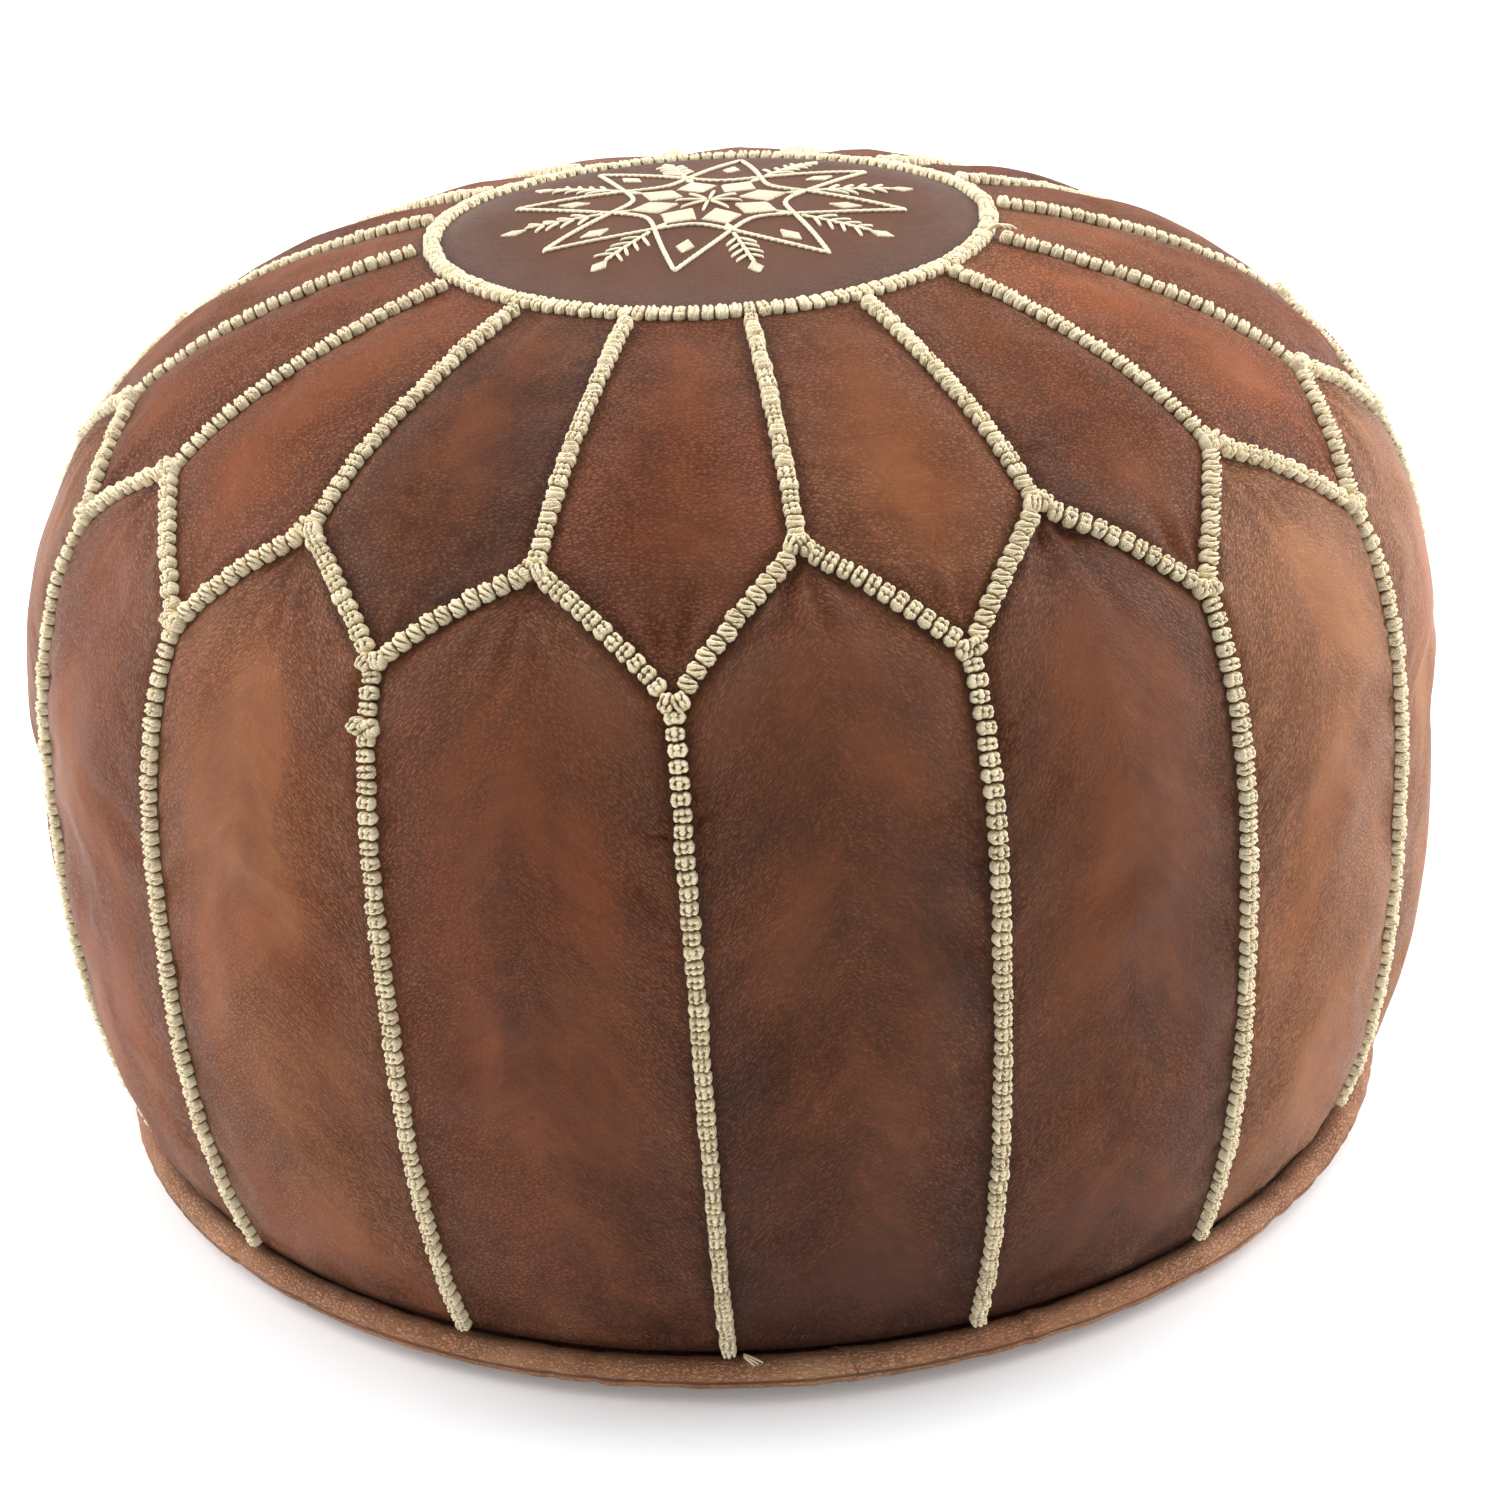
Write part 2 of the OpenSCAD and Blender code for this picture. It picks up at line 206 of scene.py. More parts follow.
def curve(t, lift=0.0):
    """Radius and height at curve angle t: 90 at the top's centre, 0 at the belly, negative below."""
    t = np.asarray(t, float)
    power = np.where(t >= 0, SHOULDER_POWER, WALL_POWER)
    depth = np.where(t >= 0, DOME_H, WALL_DEPTH)
    radians = np.radians(np.clip(t, -89, 90))
    r = BELLY_R * np.maximum(np.cos(radians), 0) ** (2 / power)
    rise = np.abs(np.sin(radians)) ** (2 / power)
    crown = CROWN_H * np.exp(-((r / CROWN_SPREAD) ** 2))
    crown_edge = CROWN_H * math.exp(-((BELLY_R / CROWN_SPREAD) ** 2))
    z = BELLY_Z + np.sign(t) * depth * rise + np.where(t > 0, crown - crown_edge, 0)
    up = np.sign(t) * rise ** (power - 1) / depth
    slope = -2 * r / CROWN_SPREAD**2 * crown
    across = (r / BELLY_R) ** (power - 1) / BELLY_R - np.where(t > 0, slope * up, 0)
    length = np.hypot(across, up)
    return r + lift * across / length, z + lift * up / length


def angle_at_z(z):
    z = np.asarray(z, float)
    above = np.clip((z - BELLY_Z) / DOME_H, 0, 1) ** (SHOULDER_POWER / 2)
    below = np.clip((BELLY_Z - z) / WALL_DEPTH, 0, 1) ** (WALL_POWER / 2)
    return np.degrees(np.where(z >= BELLY_Z, np.arcsin(above), -np.arcsin(below)))


def angle_at_r(r):
    return np.degrees(np.arccos(np.clip(r / BELLY_R, 0, 1) ** (SHOULDER_POWER / 2)))


def place(direction, t, lift=0.0):
    """Points on the pouf, from directions and curve angles. The top sits a little lower at the back."""
    r, z = curve(t, lift)
    plan = polar(r, direction)
    sag = BACK_SAG * smooth(plan[..., 1] / (110 * MM)) * smooth(np.asarray(t) / 40)
    return at_height(plan, (z - sag)[..., None])


def skin_normal(direction, t):
    return unit(place(direction, t, 1 * MM) - place(direction, t, 0))


# ---- seam nodes, with the small unevenness of hand work ----

T_RING = float(angle_at_r(RING_R))
T_HIGH = float(angle_at_z(HIGH_Z))
T_LOW = float(angle_at_z(LOW_Z))
T_FOOT = float(angle_at_z(FOOT_Z))

# Nudges of the front nodes in millimetres: towards +X around the pouf, and up the leather
RING_NUDGES = {0: (0, 0), 1: (0, 0)}
HIGH_NUDGES = {0: (-1, -3.5), 1: (-1, 3.5), 2: (-2, 4), 3: (-4, 2), -1: (-2, -1), -2: (-2, -2)}
LOW_NUDGES = {0: (1.5, -5), 1: (2, 2), 2: (-1, -1), -1: (-4.5, 1), -2: (2, -5), -3: (5, 5)}
FOOT_NUDGES = {0: (7, 0), 1: (-2, 0), 2: (-3, 0), -1: (8, 0), -2: (4, 0)}


def seam_direction(k):
    return FIRST_SEAM + k * STEP


def seam_nodes(shift, t, nudges, spread):
    """Directions and curve angles of one ring of junctions: the nudges given, and chance for the rest."""
    found = []
    for k in range(PANELS):
        signed = k - PANELS if k > PANELS // 2 else k
        across, up = nudges.get(signed, rng.normal(0, spread, 2))
        r, _ = curve(t)
        ahead = np.linalg.norm(place(0, t + 0.5) - place(0, t - 0.5)) / MM
        direction = seam_direction(k + shift) + math.degrees(across * MM / float(r))
        found.append((direction, t + up / ahead))
    return shift, found


NODES = {
    "ring": seam_nodes(0, T_RING, RING_NUDGES, 0.8),
    "high": seam_nodes(0, T_HIGH, HIGH_NUDGES, 1.8),
    "low": seam_nodes(0.5, T_LOW, LOW_NUDGES, 2.0),
    "foot": seam_nodes(0.5, T_FOOT, FOOT_NUDGES, 2.5),
}


def seam_node(kind, k):
    """A junction, with its direction given on the same turn as k."""
    shift, nodes = NODES[kind]
    direction, t = nodes[k % PANELS]
    turn = round((seam_direction(k + shift) - direction) / 360) * 360
    return np.array([direction + turn, t])


ZIGZAG_BOW = 1.1
SIDE_WAVE = 0.35


def radial_seam(k, s):
    """From the ring down to a high node."""
    return seam_node("ring", k) + np.outer(s, seam_node("high", k) - seam_node("ring", k))


def zigzag_seam(k, side, s):
    """From high node k down to the low node on one side, bowed a little outwards and up."""
    start = seam_node("high", k)
    end = seam_node("low", k if side > 0 else k - 1)
    line = start + np.outer(s, end - start)
    line[:, 1] += ZIGZAG_BOW * np.sin(np.pi * s)
    return line


def side_seam(k, s):
    """From a low node down to the piping."""
    start, end = seam_node("low", k), seam_node("foot", k)
    line = start + np.outer(s, end - start)
    line[:, 0] += SIDE_WAVE * np.sin(np.pi * s) * math.sin(1.7 * k + 0.6)
    return line


# ---- leather panels ----

SIM_FRAMES = 18
SIM_SKIP = 2
PRESSURE = 3.0
SLACK = -0.016
MOST_SWELL = 8 * MM
PETAL_ROWS, PETAL_COLUMNS = 61, 41
PANEL_ROWS, PANEL_COLUMNS = 121, 49


def petal_grid(k):
    """Directions and curve angles over the petal between seams k and k + 1, from the ring outwards."""
    down = np.linspace(0, 1, PETAL_ROWS)
    left, right = radial_seam(k, down), radial_seam(k + 1, down)
    across = np.linspace(-1, 1, PETAL_COLUMNS)
    half = PETAL_COLUMNS // 2
    reach = np.linspace(0, 1, half + 1)
    foot = np.concatenate([zigzag_seam(k, 1, reach), zigzag_seam(k + 1, -1, reach)[::-1][1:]])
    head = np.stack([np.interp(across, [-1, 1], [left[0, i], right[0, i]]) for i in (0, 1)], -1)
    return coons(head, foot, left, right)


def panel_grid(k):
    """The side panel whose upper point is high node k, from the zigzag down to the piping."""
    down = np.linspace(0, 1, PANEL_ROWS)
    left, right = side_seam(k - 1, down), side_seam(k, down)
    half = PANEL_COLUMNS // 2
    reach = np.linspace(0, 1, half + 1)
    head = np.concatenate([zigzag_seam(k, -1, reach)[::-1], zigzag_seam(k, 1, reach)[1:]])
    across = np.linspace(-1, 1, PANEL_COLUMNS)
    foot = np.stack([np.interp(across, [-1, 1], [left[-1, i], right[-1, i]]) for i in (0, 1)], -1)
    return coons(head, foot, left, right)


def coons(head, foot, left, right):
    """A grid that blends four edge curves."""
    v = np.linspace(0, 1, len(left))[:, None, None]
    u = np.linspace(0, 1, len(head))[None, :, None]
    ruled = (1 - v) * head[None] + v * foot[None] + (1 - u) * left[:, None] + u * right[:, None]
    corners = (
        (1 - u) * (1 - v) * head[0] + u * (1 - v) * head[-1] + (1 - u) * v * foot[0] + u * v * foot[-1]
    )
    return ruled - corners


def doubled(field):
    """A field on every second point of a grid, spread to all its points and softened."""
    for axis in (0, 1):
        field = np.moveaxis(field, axis, 0)
        fine = np.empty((2 * len(field) - 1,) + field.shape[1:])
        fine[::2] = field
        fine[1::2] = (field[1:] + field[:-1]) / 2
        fine[1:-1] = (fine[:-2] + 2 * fine[1:-1] + fine[2:]) / 4
        field = np.moveaxis(fine, 0, axis)
    return field


def stuffed(grids):
    """Cloth simulation: every cut of leather is held along its seams while the stuffing presses it out.

    Returns how far each point of each grid moved along the skin's normal."""
    verts, faces, held, normals, shapes = [], [], [], [], []
    offset = 0
    for grid in grids:
        part = grid[::SIM_SKIP, ::SIM_SKIP]
        direction, t = part[..., 0], part[..., 1]
        normal = skin_normal(direction, t)
        rows, columns = direction.shape
        edge = np.zeros((rows, columns), bool)
        edge[[0, -1], :] = True
        edge[:, [0, -1]] = True
        lift = np.where(edge, SEAM_LIFT, SEAM_LIFT * 0.75)
        verts.append((place(direction, t) + normal * lift[..., None]).reshape(-1, 3))
        normals.append(normal.reshape(-1, 3))
        faces += flipped(grid_faces(rows, columns, offset))
        held.append(offset + np.flatnonzero(edge.ravel()))
        shapes.append((rows, columns, lift))
        offset += rows * columns
    start = np.concatenate(verts)
    mesh = bpy.data.meshes.new("stuffed_leather")
    mesh.from_pydata(start.tolist(), [], faces)
    body = bpy.data.objects.new("stuffed_leather", mesh)
    bpy.context.scene.collection.objects.link(body)
    pins = body.vertex_groups.new(name="seams")
    pins.add(np.concatenate(held).tolist(), 1.0, "REPLACE")
    cloth = body.modifiers.new("cloth", "CLOTH")
    settings = cloth.settings
    settings.quality = 5
    settings.mass = 0.25
    settings.tension_stiffness = 30
    settings.compression_stiffness = 18
    settings.shear_stiffness = 12
    settings.bending_stiffness = 1.2
    settings.air_damping = 3
    settings.vertex_group_mass = "seams"
    settings.shrink_min = SLACK
    settings.use_pressure = True
    settings.uniform_pressure_force = PRESSURE
    settings.effector_weights.gravity = 0
    cloth.collision_settings.use_collision = False
    cloth.point_cache.frame_start = 1
    cloth.point_cache.frame_end = SIM_FRAMES
    for number in range(1, SIM_FRAMES + 1):
        bpy.context.scene.frame_set(number)
    result = body.evaluated_get(bpy.context.evaluated_depsgraph_get()).to_mesh()
    end = np.empty(len(result.vertices) * 3)
    result.vertices.foreach_get("co", end)
    end = end.reshape(-1, 3)
    bpy.data.objects.remove(body)
    bpy.data.meshes.remove(mesh)
    bpy.context.scene.frame_set(1)
    moved = ((end - start) * np.concatenate(normals)).sum(-1)
    moved = np.clip(np.nan_to_num(moved), -MOST_SWELL, MOST_SWELL)
    fields, offset = [], 0
    for rows, columns, lift in shapes:
        field = moved[offset : offset + rows * columns].reshape(rows, columns) + lift
        fields.append(doubled(field))
        offset += rows * columns
    return fields


def edge_distances(points, edges):
    """Distance from every point to each edge curve."""
    flat = points.reshape(-1, 3)
    found = []
    for edge in edges:
        gaps = np.linalg.norm(flat[:, None, :] - edge[None, ::2], axis=-1)
        found.append(gaps.min(1).reshape(points.shape[:2]))
    return found


def groove(points, start, heading, normal, length, width, depth):
    """A soft crease that starts at a point on the seam and fades along its heading."""
    away = points - start
    along = away @ heading
    side = away @ np.cross(normal, heading)
    fade = smooth(along / (0.12 * length)) * smooth((length - along) / (0.7 * length))
    spread = width * (0.6 + 0.8 * np.clip(along / length, 0, 1))
    wave = np.cos(np.pi * side / spread) * np.exp(-((side / spread) ** 2))
    return -depth * fade * wave


def seam_creases(points, edge, normal_at, count, reach, depth, draw):
    """Short creases that run from a seam into the leather, square to the seam."""
    lift = np.zeros(points.shape[:2])
    centre = points.mean((0, 1))
    for _ in range(count):
        i = int(draw.integers(2, len(edge) - 2))
        start = edge[i]
        seam_way = unit(edge[i + 1] - edge[i - 1])
        normal = normal_at[i]
        inward = np.cross(normal, seam_way)
        if inward @ (centre - start) < 0:
            inward = -inward
        lean = draw.normal(0, 0.35)
        heading = unit(inward + lean * seam_way)
        size = draw.uniform(0.5, 1.0)
        lift += groove(
            points, start, heading, normal, reach * size, 2.6 * MM * (0.7 + 0.6 * size), depth * size
        )
    return lift


def tip_creases(points, tip, heading, normal, count, reach, depth, draw):
    """Creases that fan out from a pointed end."""
    lift = np.zeros(points.shape[:2])
    for i in range(count):
        turn = (i - (count - 1) / 2) * 0.38 + draw.normal(0, 0.09)
        way = unit(heading * math.cos(turn) + np.cross(normal, heading) * math.sin(turn))
        length = reach * draw.uniform(0.6, 1.1)
        lift += groove(points, tip, way, normal, length, 6.5 * MM, depth * draw.uniform(0.5, 1))
    return lift


def leather_piece(name, node, grid, edges, puff, swell, material, creases, seed, tones, warmth):
    """One cut of leather: puffed between its seams, creased along them and turned in at the edge."""
    direction, t = grid[..., 0], grid[..., 1]
    base = place(direction, t)
    normal = skin_normal(direction, t)
    gaps = edge_distances(base, [place(e[:, 0], e[:, 1]) for e in edges])
    nearest = np.min(gaps, axis=0)
    clear = np.maximum(nearest - BRAID_HALF, 0)
    if swell is None:
        fullness = np.ones(base.shape[:2])
        for gap in gaps:
            fullness = fullness * (1 - np.exp(-np.maximum(gap - BRAID_HALF, 0) / (8 * MM)))
        lift = SEAM_LIFT + (puff - SEAM_LIFT) * fullness
    else:
        lift = SEAM_LIFT + (swell - SEAM_LIFT) * smooth(clear / (5 * MM))
    lumps = 1.1 * MM * noise_at(base, 75 * MM, seed) + 0.6 * MM * noise_at(base, 22 * MM, seed + 5)
    lift = lift + smooth(nearest / (14 * MM)) * lumps
    lift = lift + creases(base, normal) * smooth(clear / (4 * MM))
    if name.startswith("petal"):
        calm = smooth(gaps[0] / CALM_REACH)
        lift = RING_LIFT + (lift - RING_LIFT) * (0.25 + 0.75 * calm)
    rows, columns = base.shape[:2]
    across = np.radians(direction - direction[0, columns // 2]) * curve(t)[0]
    along = np.cumsum(np.linalg.norm(np.diff(base, axis=0, prepend=base[:1]), axis=-1), axis=0)
    share = np.linspace(0, 1, rows)[:, None] + np.zeros(columns)
    # nearest is the distance to the seams; the leather material paints shade close to them.
    leather_object(
        name, node, base + normal * lift[..., None], flipped(grid_faces(rows, columns)), material,
        np.stack([across, along, np.full_like(across, seed * 0.37)], -1), nearest / MM,
        (tones[0] + (tones[1] - tones[0]) * share).ravel(), warmth,
    )


# How light each piece of leather is at its inner and its outer end, from 0 dark to 1 pale
PETAL_TONES = [
    (0.40, 0.38), (0.44, 0.52), (0.52, 0.36), (0.68, 0.58), (0.62, 0.55), (0.5, 0.45), (0.35, 0.45),
    (0.55, 0.6), (0.45, 0.4), (0.6, 0.55), (0.5, 0.62), (0.4, 0.4), (0.55, 0.5), (0.50, 0.46),
    (0.46, 0.42), (0.30, 0.24),
]
PANEL_TONES = [
    (0.43, 0.26), (0.52, 0.04), (0.40, 0.22), (0.66, 0.78), (0.80, 0.86), (0.6, 0.5), (0.45, 0.4),
    (0.55, 0.45), (0.65, 0.6), (0.4, 0.35), (0.5, 0.55), (0.6, 0.45), (0.5, 0.5), (0.62, 0.6),
    (0.48, 0.56), (0.72, 0.50),
]
PETAL_WARMTH = [0.62, 0.38, 0.40, 0.72, 0.5, 0.4, 0.6, 0.5, 0.7, 0.4, 0.5, 0.6, 0.4, 0.6, 0.70, 0.30]
PANEL_WARMTH = [0.50, 0.26, 0.28, 0.30, 0.4, 0.5, 0.6, 0.4, 0.5, 0.6, 0.4, 0.5, 0.6, 0.5, 0.62, 0.45]


def build_petal(k, grid, swell, material):
    edges = [grid[0], grid[-1], grid[:, 0], grid[:, -1]]
    draw = np.random.default_rng(100 + k)

    def creases(base, normal):
        tip = base[-1, PETAL_COLUMNS // 2]
        heading = unit(base[-12, PETAL_COLUMNS // 2] - tip)
        lift = tip_creases(base, tip, heading, normal[-1, PETAL_COLUMNS // 2], 4, 46 * MM, 1.7 * MM, draw)
        for edge, up in ((base[:, 0], normal[:, 0]), (base[:, -1], normal[:, -1])):
            lift = lift + seam_creases(base, edge, up, 7, 15 * MM, 0.8 * MM, draw)
        return lift

    leather_piece(
        f"petal_leather_{k + 1:02d}", f"upper_petal_{k + 1:02d}", grid, edges, 1.4 * MM, swell, material,
        creases, k + 1.0, PETAL_TONES[k % len(PETAL_TONES)],
        PETAL_WARMTH[k % len(PETAL_WARMTH)],
    )


def build_panel(k, grid, swell, material):
    half = PANEL_COLUMNS // 2
    edges = [grid[0, : half + 1], grid[0, half:], grid[-1], grid[:, 0], grid[:, -1]]
    draw = np.random.default_rng(200 + k)

    def creases(base, normal):
        tip = base[0, half]
        heading = unit(base[16, half] - tip)
        lift = tip_creases(base, tip, heading, normal[0, half], 4, 64 * MM, 1.5 * MM, draw)
        for edge, up in ((base[:, 0], normal[:, 0]), (base[:, -1], normal[:, -1])):
            lift = lift + seam_creases(base, edge, up, 12, 17 * MM, 0.9 * MM, draw)
        lift = lift + seam_creases(base, base[-1], normal[-1], 8, 16 * MM, 0.9 * MM, draw)
        return lift

    leather_piece(
        f"panel_leather_{k + 1:02d}", f"side_panel_{k + 1:02d}", grid, edges, 2.0 * MM, swell, material,
        creases, k + 31.0, PANEL_TONES[k % len(PANEL_TONES)],
        PANEL_WARMTH[k % len(PANEL_WARMTH)],
    )


MEDALLION_ROWS, MEDALLION_COLUMNS = 44, 160


def medallion_lift(r, points):
    edge = 1 - np.exp(-np.maximum(RING_R - r - BRAID_HALF - 1 * MM, 0) / (7 * MM))
    soft = smooth((RING_R - r) / (20 * MM))
    return RING_LIFT + (0.5 * MM - RING_LIFT) * edge + 0.5 * MM * soft * noise_at(points, 60 * MM, 71)


def build_medallion(material):
    radii = RING_R * np.sin(np.linspace(0.012, 1, MEDALLION_ROWS) * math.pi / 2)
    turn = np.linspace(0, 360, MEDALLION_COLUMNS, endpoint=False)
    t = angle_at_r(radii)[:, None] + 0 * turn[None]
    direction = turn[None] + 0 * t
    base = place(direction, t)
    r = np.hypot(base[..., 0], base[..., 1])
    points = base + skin_normal(direction, t) * medallion_lift(r, base)[..., None]
    centre = tuple(range(MEDALLION_COLUMNS))
    faces = flipped(grid_faces(MEDALLION_ROWS, MEDALLION_COLUMNS, wrap=True)) + [centre]
    grain = np.stack([base[..., 0], base[..., 1], 0 * r + 9], -1)
    # Distance in from the ring braid; the leather material paints shade next to it.
    leather_object(
        "medallion_leather", "medallion", points, faces, material,
        grain, (RING_R - r) / MM, 0.5, 0.3,
    )


# ---- silk knots over the seams ----

KNOT_ROWS, KNOT_COLUMNS = 19, 23
BEADED = [
    [(-0.46, -0.64), (0.46, -0.64), (-0.48, 0.0), (0.48, 0.0), (-0.46, 0.64), (0.46, 0.64)],
    [(-0.44, -0.66), (0.48, -0.62), (-0.68, 0.02), (0.0, 0.0), (0.68, -0.02), (-0.48, 0.64), (0.44, 0.66)],
    [(-0.62, -0.62), (0.0, -0.68), (0.62, -0.62), (-0.36, 0.0), (0.36, 0.0), (-0.6, 0.64), (0.02, 0.68),
     (0.6, 0.62)],
]


def knot_points(height, swell):
    """A rounded block from its heights, with the rim turned down below the leather."""
    s = np.sin(np.linspace(-1, 1, KNOT_ROWS) * math.pi / 2)
    q = np.sin(np.linspace(-1, 1, KNOT_COLUMNS) * math.pi / 2)
    x, y = np.meshgrid(s, q, indexing="ij")
    tall = height(x, y)
    border = (np.abs(x) > 0.999) | (np.abs(y) > 0.999)
    tall = np.where(border, -0.3, tall)
    wide = swell(x, y) * (1 - 0.24 * (x * y) ** 2)
    return np.stack([0.5 * x * wide, 0.5 * y * wide, tall], -1).reshape(-1, 3)


def block(x, y):
    return (1 - np.abs(x) ** 3) ** 0.42 * (1 - np.abs(y) ** 3.2) ** 0.42


def beaded_knot(draw, lobes):
    """A knot whose thread makes rows of small round lobes."""
    spots = [
        (lx + draw.normal(0, 0.05), ly + draw.normal(0, 0.05), draw.uniform(0.9, 1.1)) for lx, ly in lobes
    ]

    def bumps(x, y):
        found = np.zeros_like(x)
        for lx, ly, size in spots:
            far = ((x - lx) / (0.44 * size)) ** 2 + ((y - ly) / (0.33 * size)) ** 2
            found = np.maximum(found, np.sqrt(np.maximum(1 - far * 0.8, 0)))
        return found

    return knot_points(
        lambda x, y: block(x, y) * (0.42 + 0.60 * bumps(x, y)), lambda x, y: 0.92 + 0.14 * bumps(x, y)
    )


def strand_knot(draw, lean):
    """A knot whose strands arch over it side by side at a slant."""
    phase = draw.uniform(0, 6.28)
    count = draw.uniform(2.0, 2.5)

    def bumps(x, y):
        bend = 0.22 * y**2
        return 0.5 + 0.5 * np.cos(math.pi * 2 * count * (0.5 * x + lean * 0.36 * y + bend) + phase)

    return knot_points(
        lambda x, y: block(x, y) * (0.60 + 0.42 * np.sqrt(bumps(x, y))),
        lambda x, y: 0.95 + 0.08 * bumps(x, y),
    )


def knot_faces():
    faces = grid_faces(KNOT_ROWS, KNOT_COLUMNS)
    last = (KNOT_ROWS - 1) * KNOT_COLUMNS
    rim = (
        list(range(KNOT_COLUMNS))
        + [i * KNOT_COLUMNS + KNOT_COLUMNS - 1 for i in range(1, KNOT_ROWS)]
        + [last + j for j in range(KNOT_COLUMNS - 2, -1, -1)]
        + [i * KNOT_COLUMNS for i in range(KNOT_ROWS - 2, 0, -1)]
    )
    return flipped(faces) + [tuple(rim)]


BEADED_KNOTS = [beaded_knot(np.random.default_rng(40 + i), BEADED[i % 3]) for i in range(9)]
STRAND_KNOTS = {
    lean: [strand_knot(np.random.default_rng(60 + i), lean) for i in range(5)] for lean in (-1, 0, 1)
}
KNOT_FACES = knot_faces()


def walk(points, normals, pitch):
    """Evenly spaced places along a curve, with their headings and normals."""
    lengths = path_lengths(points)
    count = max(2, int(round(lengths[-1] / pitch)))
    at = (np.arange(count) + 0.5) * lengths[-1] / count
    ahead = along_path(points, lengths, at + 0.5 * MM)
    behind = along_path(points, lengths, at - 0.5 * MM)
    ups = unit(along_path(normals, lengths, at))
    return along_path(points, lengths, at), unit(ahead - behind), ups, lengths[-1] / count


def knot_row(points, normals, pitch, width, height, draw, shapes, fill=1.0):
    """Knots along one seam: their points, local places and tones."""
    spots, headings, ups, gap = walk(points, normals, pitch)
    verts, local, tone = [], [], []
    steps = len(spots)
    for i in range(steps):
        share = i / max(1, steps - 1)
        wide = np.interp(share, [0, 1], width) * draw.uniform(0.92, 1.07)
        tall = height * draw.uniform(0.9, 1.1)
        turn = draw.normal(0, 0.07)
        way = unit(headings[i] + turn * np.cross(ups[i], headings[i]))
        side = unit(np.cross(ups[i], way))
        shape = shapes[int(draw.integers(len(shapes)))]
        origin = spots[i] + side * draw.normal(0, 0.16 * MM)
        verts.append(
            origin
            + shape[:, :1] * gap * fill * draw.uniform(0.96, 1.05) * way
            + shape[:, 1:2] * wide * side
            + shape[:, 2:] * tall * ups[i]
        )
        local.append(shape * np.array([gap, wide, tall]) / MM + i * 7.0)
        tone.append(np.full(len(shape), draw.random()))
    return verts, local, tone


def knots_object(name, rows, nodes, material):
    verts, local, tone = [], [], []
    for row in rows:
        verts += row[0]
        local += row[1]
        tone += row[2]
    size = len(BEADED_KNOTS[0])
    faces = [tuple(i + n * size for i in face) for n in range(len(verts)) for face in KNOT_FACES]
    thread_object(
        name, nodes, np.concatenate(verts), faces, material,
        np.concatenate(local), np.concatenate(tone),
    )


def seam_points(line, lift):
    return place(line[:, 0], line[:, 1], lift), skin_normal(line[:, 0], line[:, 1])


SEAM_STATIONS, SIDE_STATIONS = 60, 90


def build_braids(material):
    """The knots of every seam, one object for each seam so that each can be picked out."""
    for k in range(PANELS):
        draw = np.random.default_rng(300 + k)
        share = np.linspace(0.035, 0.98, SEAM_STATIONS)
        floor_lift = BRAID_FLOOR + (RING_LIFT - BRAID_FLOOR) * (1 - smooth(share / 0.45))
        points, normals = seam_points(radial_seam(k, share), floor_lift)
        mixed = BEADED_KNOTS + STRAND_KNOTS[0] + STRAND_KNOTS[0]
        row = knot_row(points, normals, 4.8 * MM, (5.6 * MM, 6.5 * MM), 3.6 * MM, draw, mixed, 1.06)
        knots_object(f"radial_braid_{k + 1:02d}", [row], ["radial_seam_braids"], material)
        rows = []
        for side, shapes in ((-1, STRAND_KNOTS[1]), (1, BEADED_KNOTS)):
            share = np.linspace(0.07, 0.94, SEAM_STATIONS)
            points, normals = seam_points(zigzag_seam(k, side, share), BRAID_FLOOR)
            rows.append(knot_row(points, normals, 5.2 * MM, (6.7 * MM, 6.5 * MM), 4.2 * MM, draw, shapes))
        knots_object(f"zigzag_braid_{k + 1:02d}", rows, ["zigzag_seam_braids"], material)
        share = np.linspace(0.015, 0.995, SIDE_STATIONS)
        points, normals = seam_points(side_seam(k, share), BRAID_FLOOR)
        row = knot_row(points, normals, 5.0 * MM, (6.9 * MM, 5.8 * MM), 4.2 * MM, draw, BEADED_KNOTS)
        knots_object(f"side_braid_{k + 1:02d}", [row], ["side_seam_braids"], material)


def build_ring_braid(material):
    draw = np.random.default_rng(390)
    direction = np.linspace(0, 360, 361)
    line = np.stack([direction, np.full(361, T_RING)], -1)
    points, normals = seam_points(line, RING_LIFT)
    shapes = STRAND_KNOTS[0] + BEADED_KNOTS[:5]
    row = knot_row(points, normals, 4.7 * MM, (6.9 * MM, 6.9 * MM), 2.9 * MM, draw, shapes, 1.07)
    knots_object("medallion_ring_knots", [row], ["medallion_ring_braid"], material)


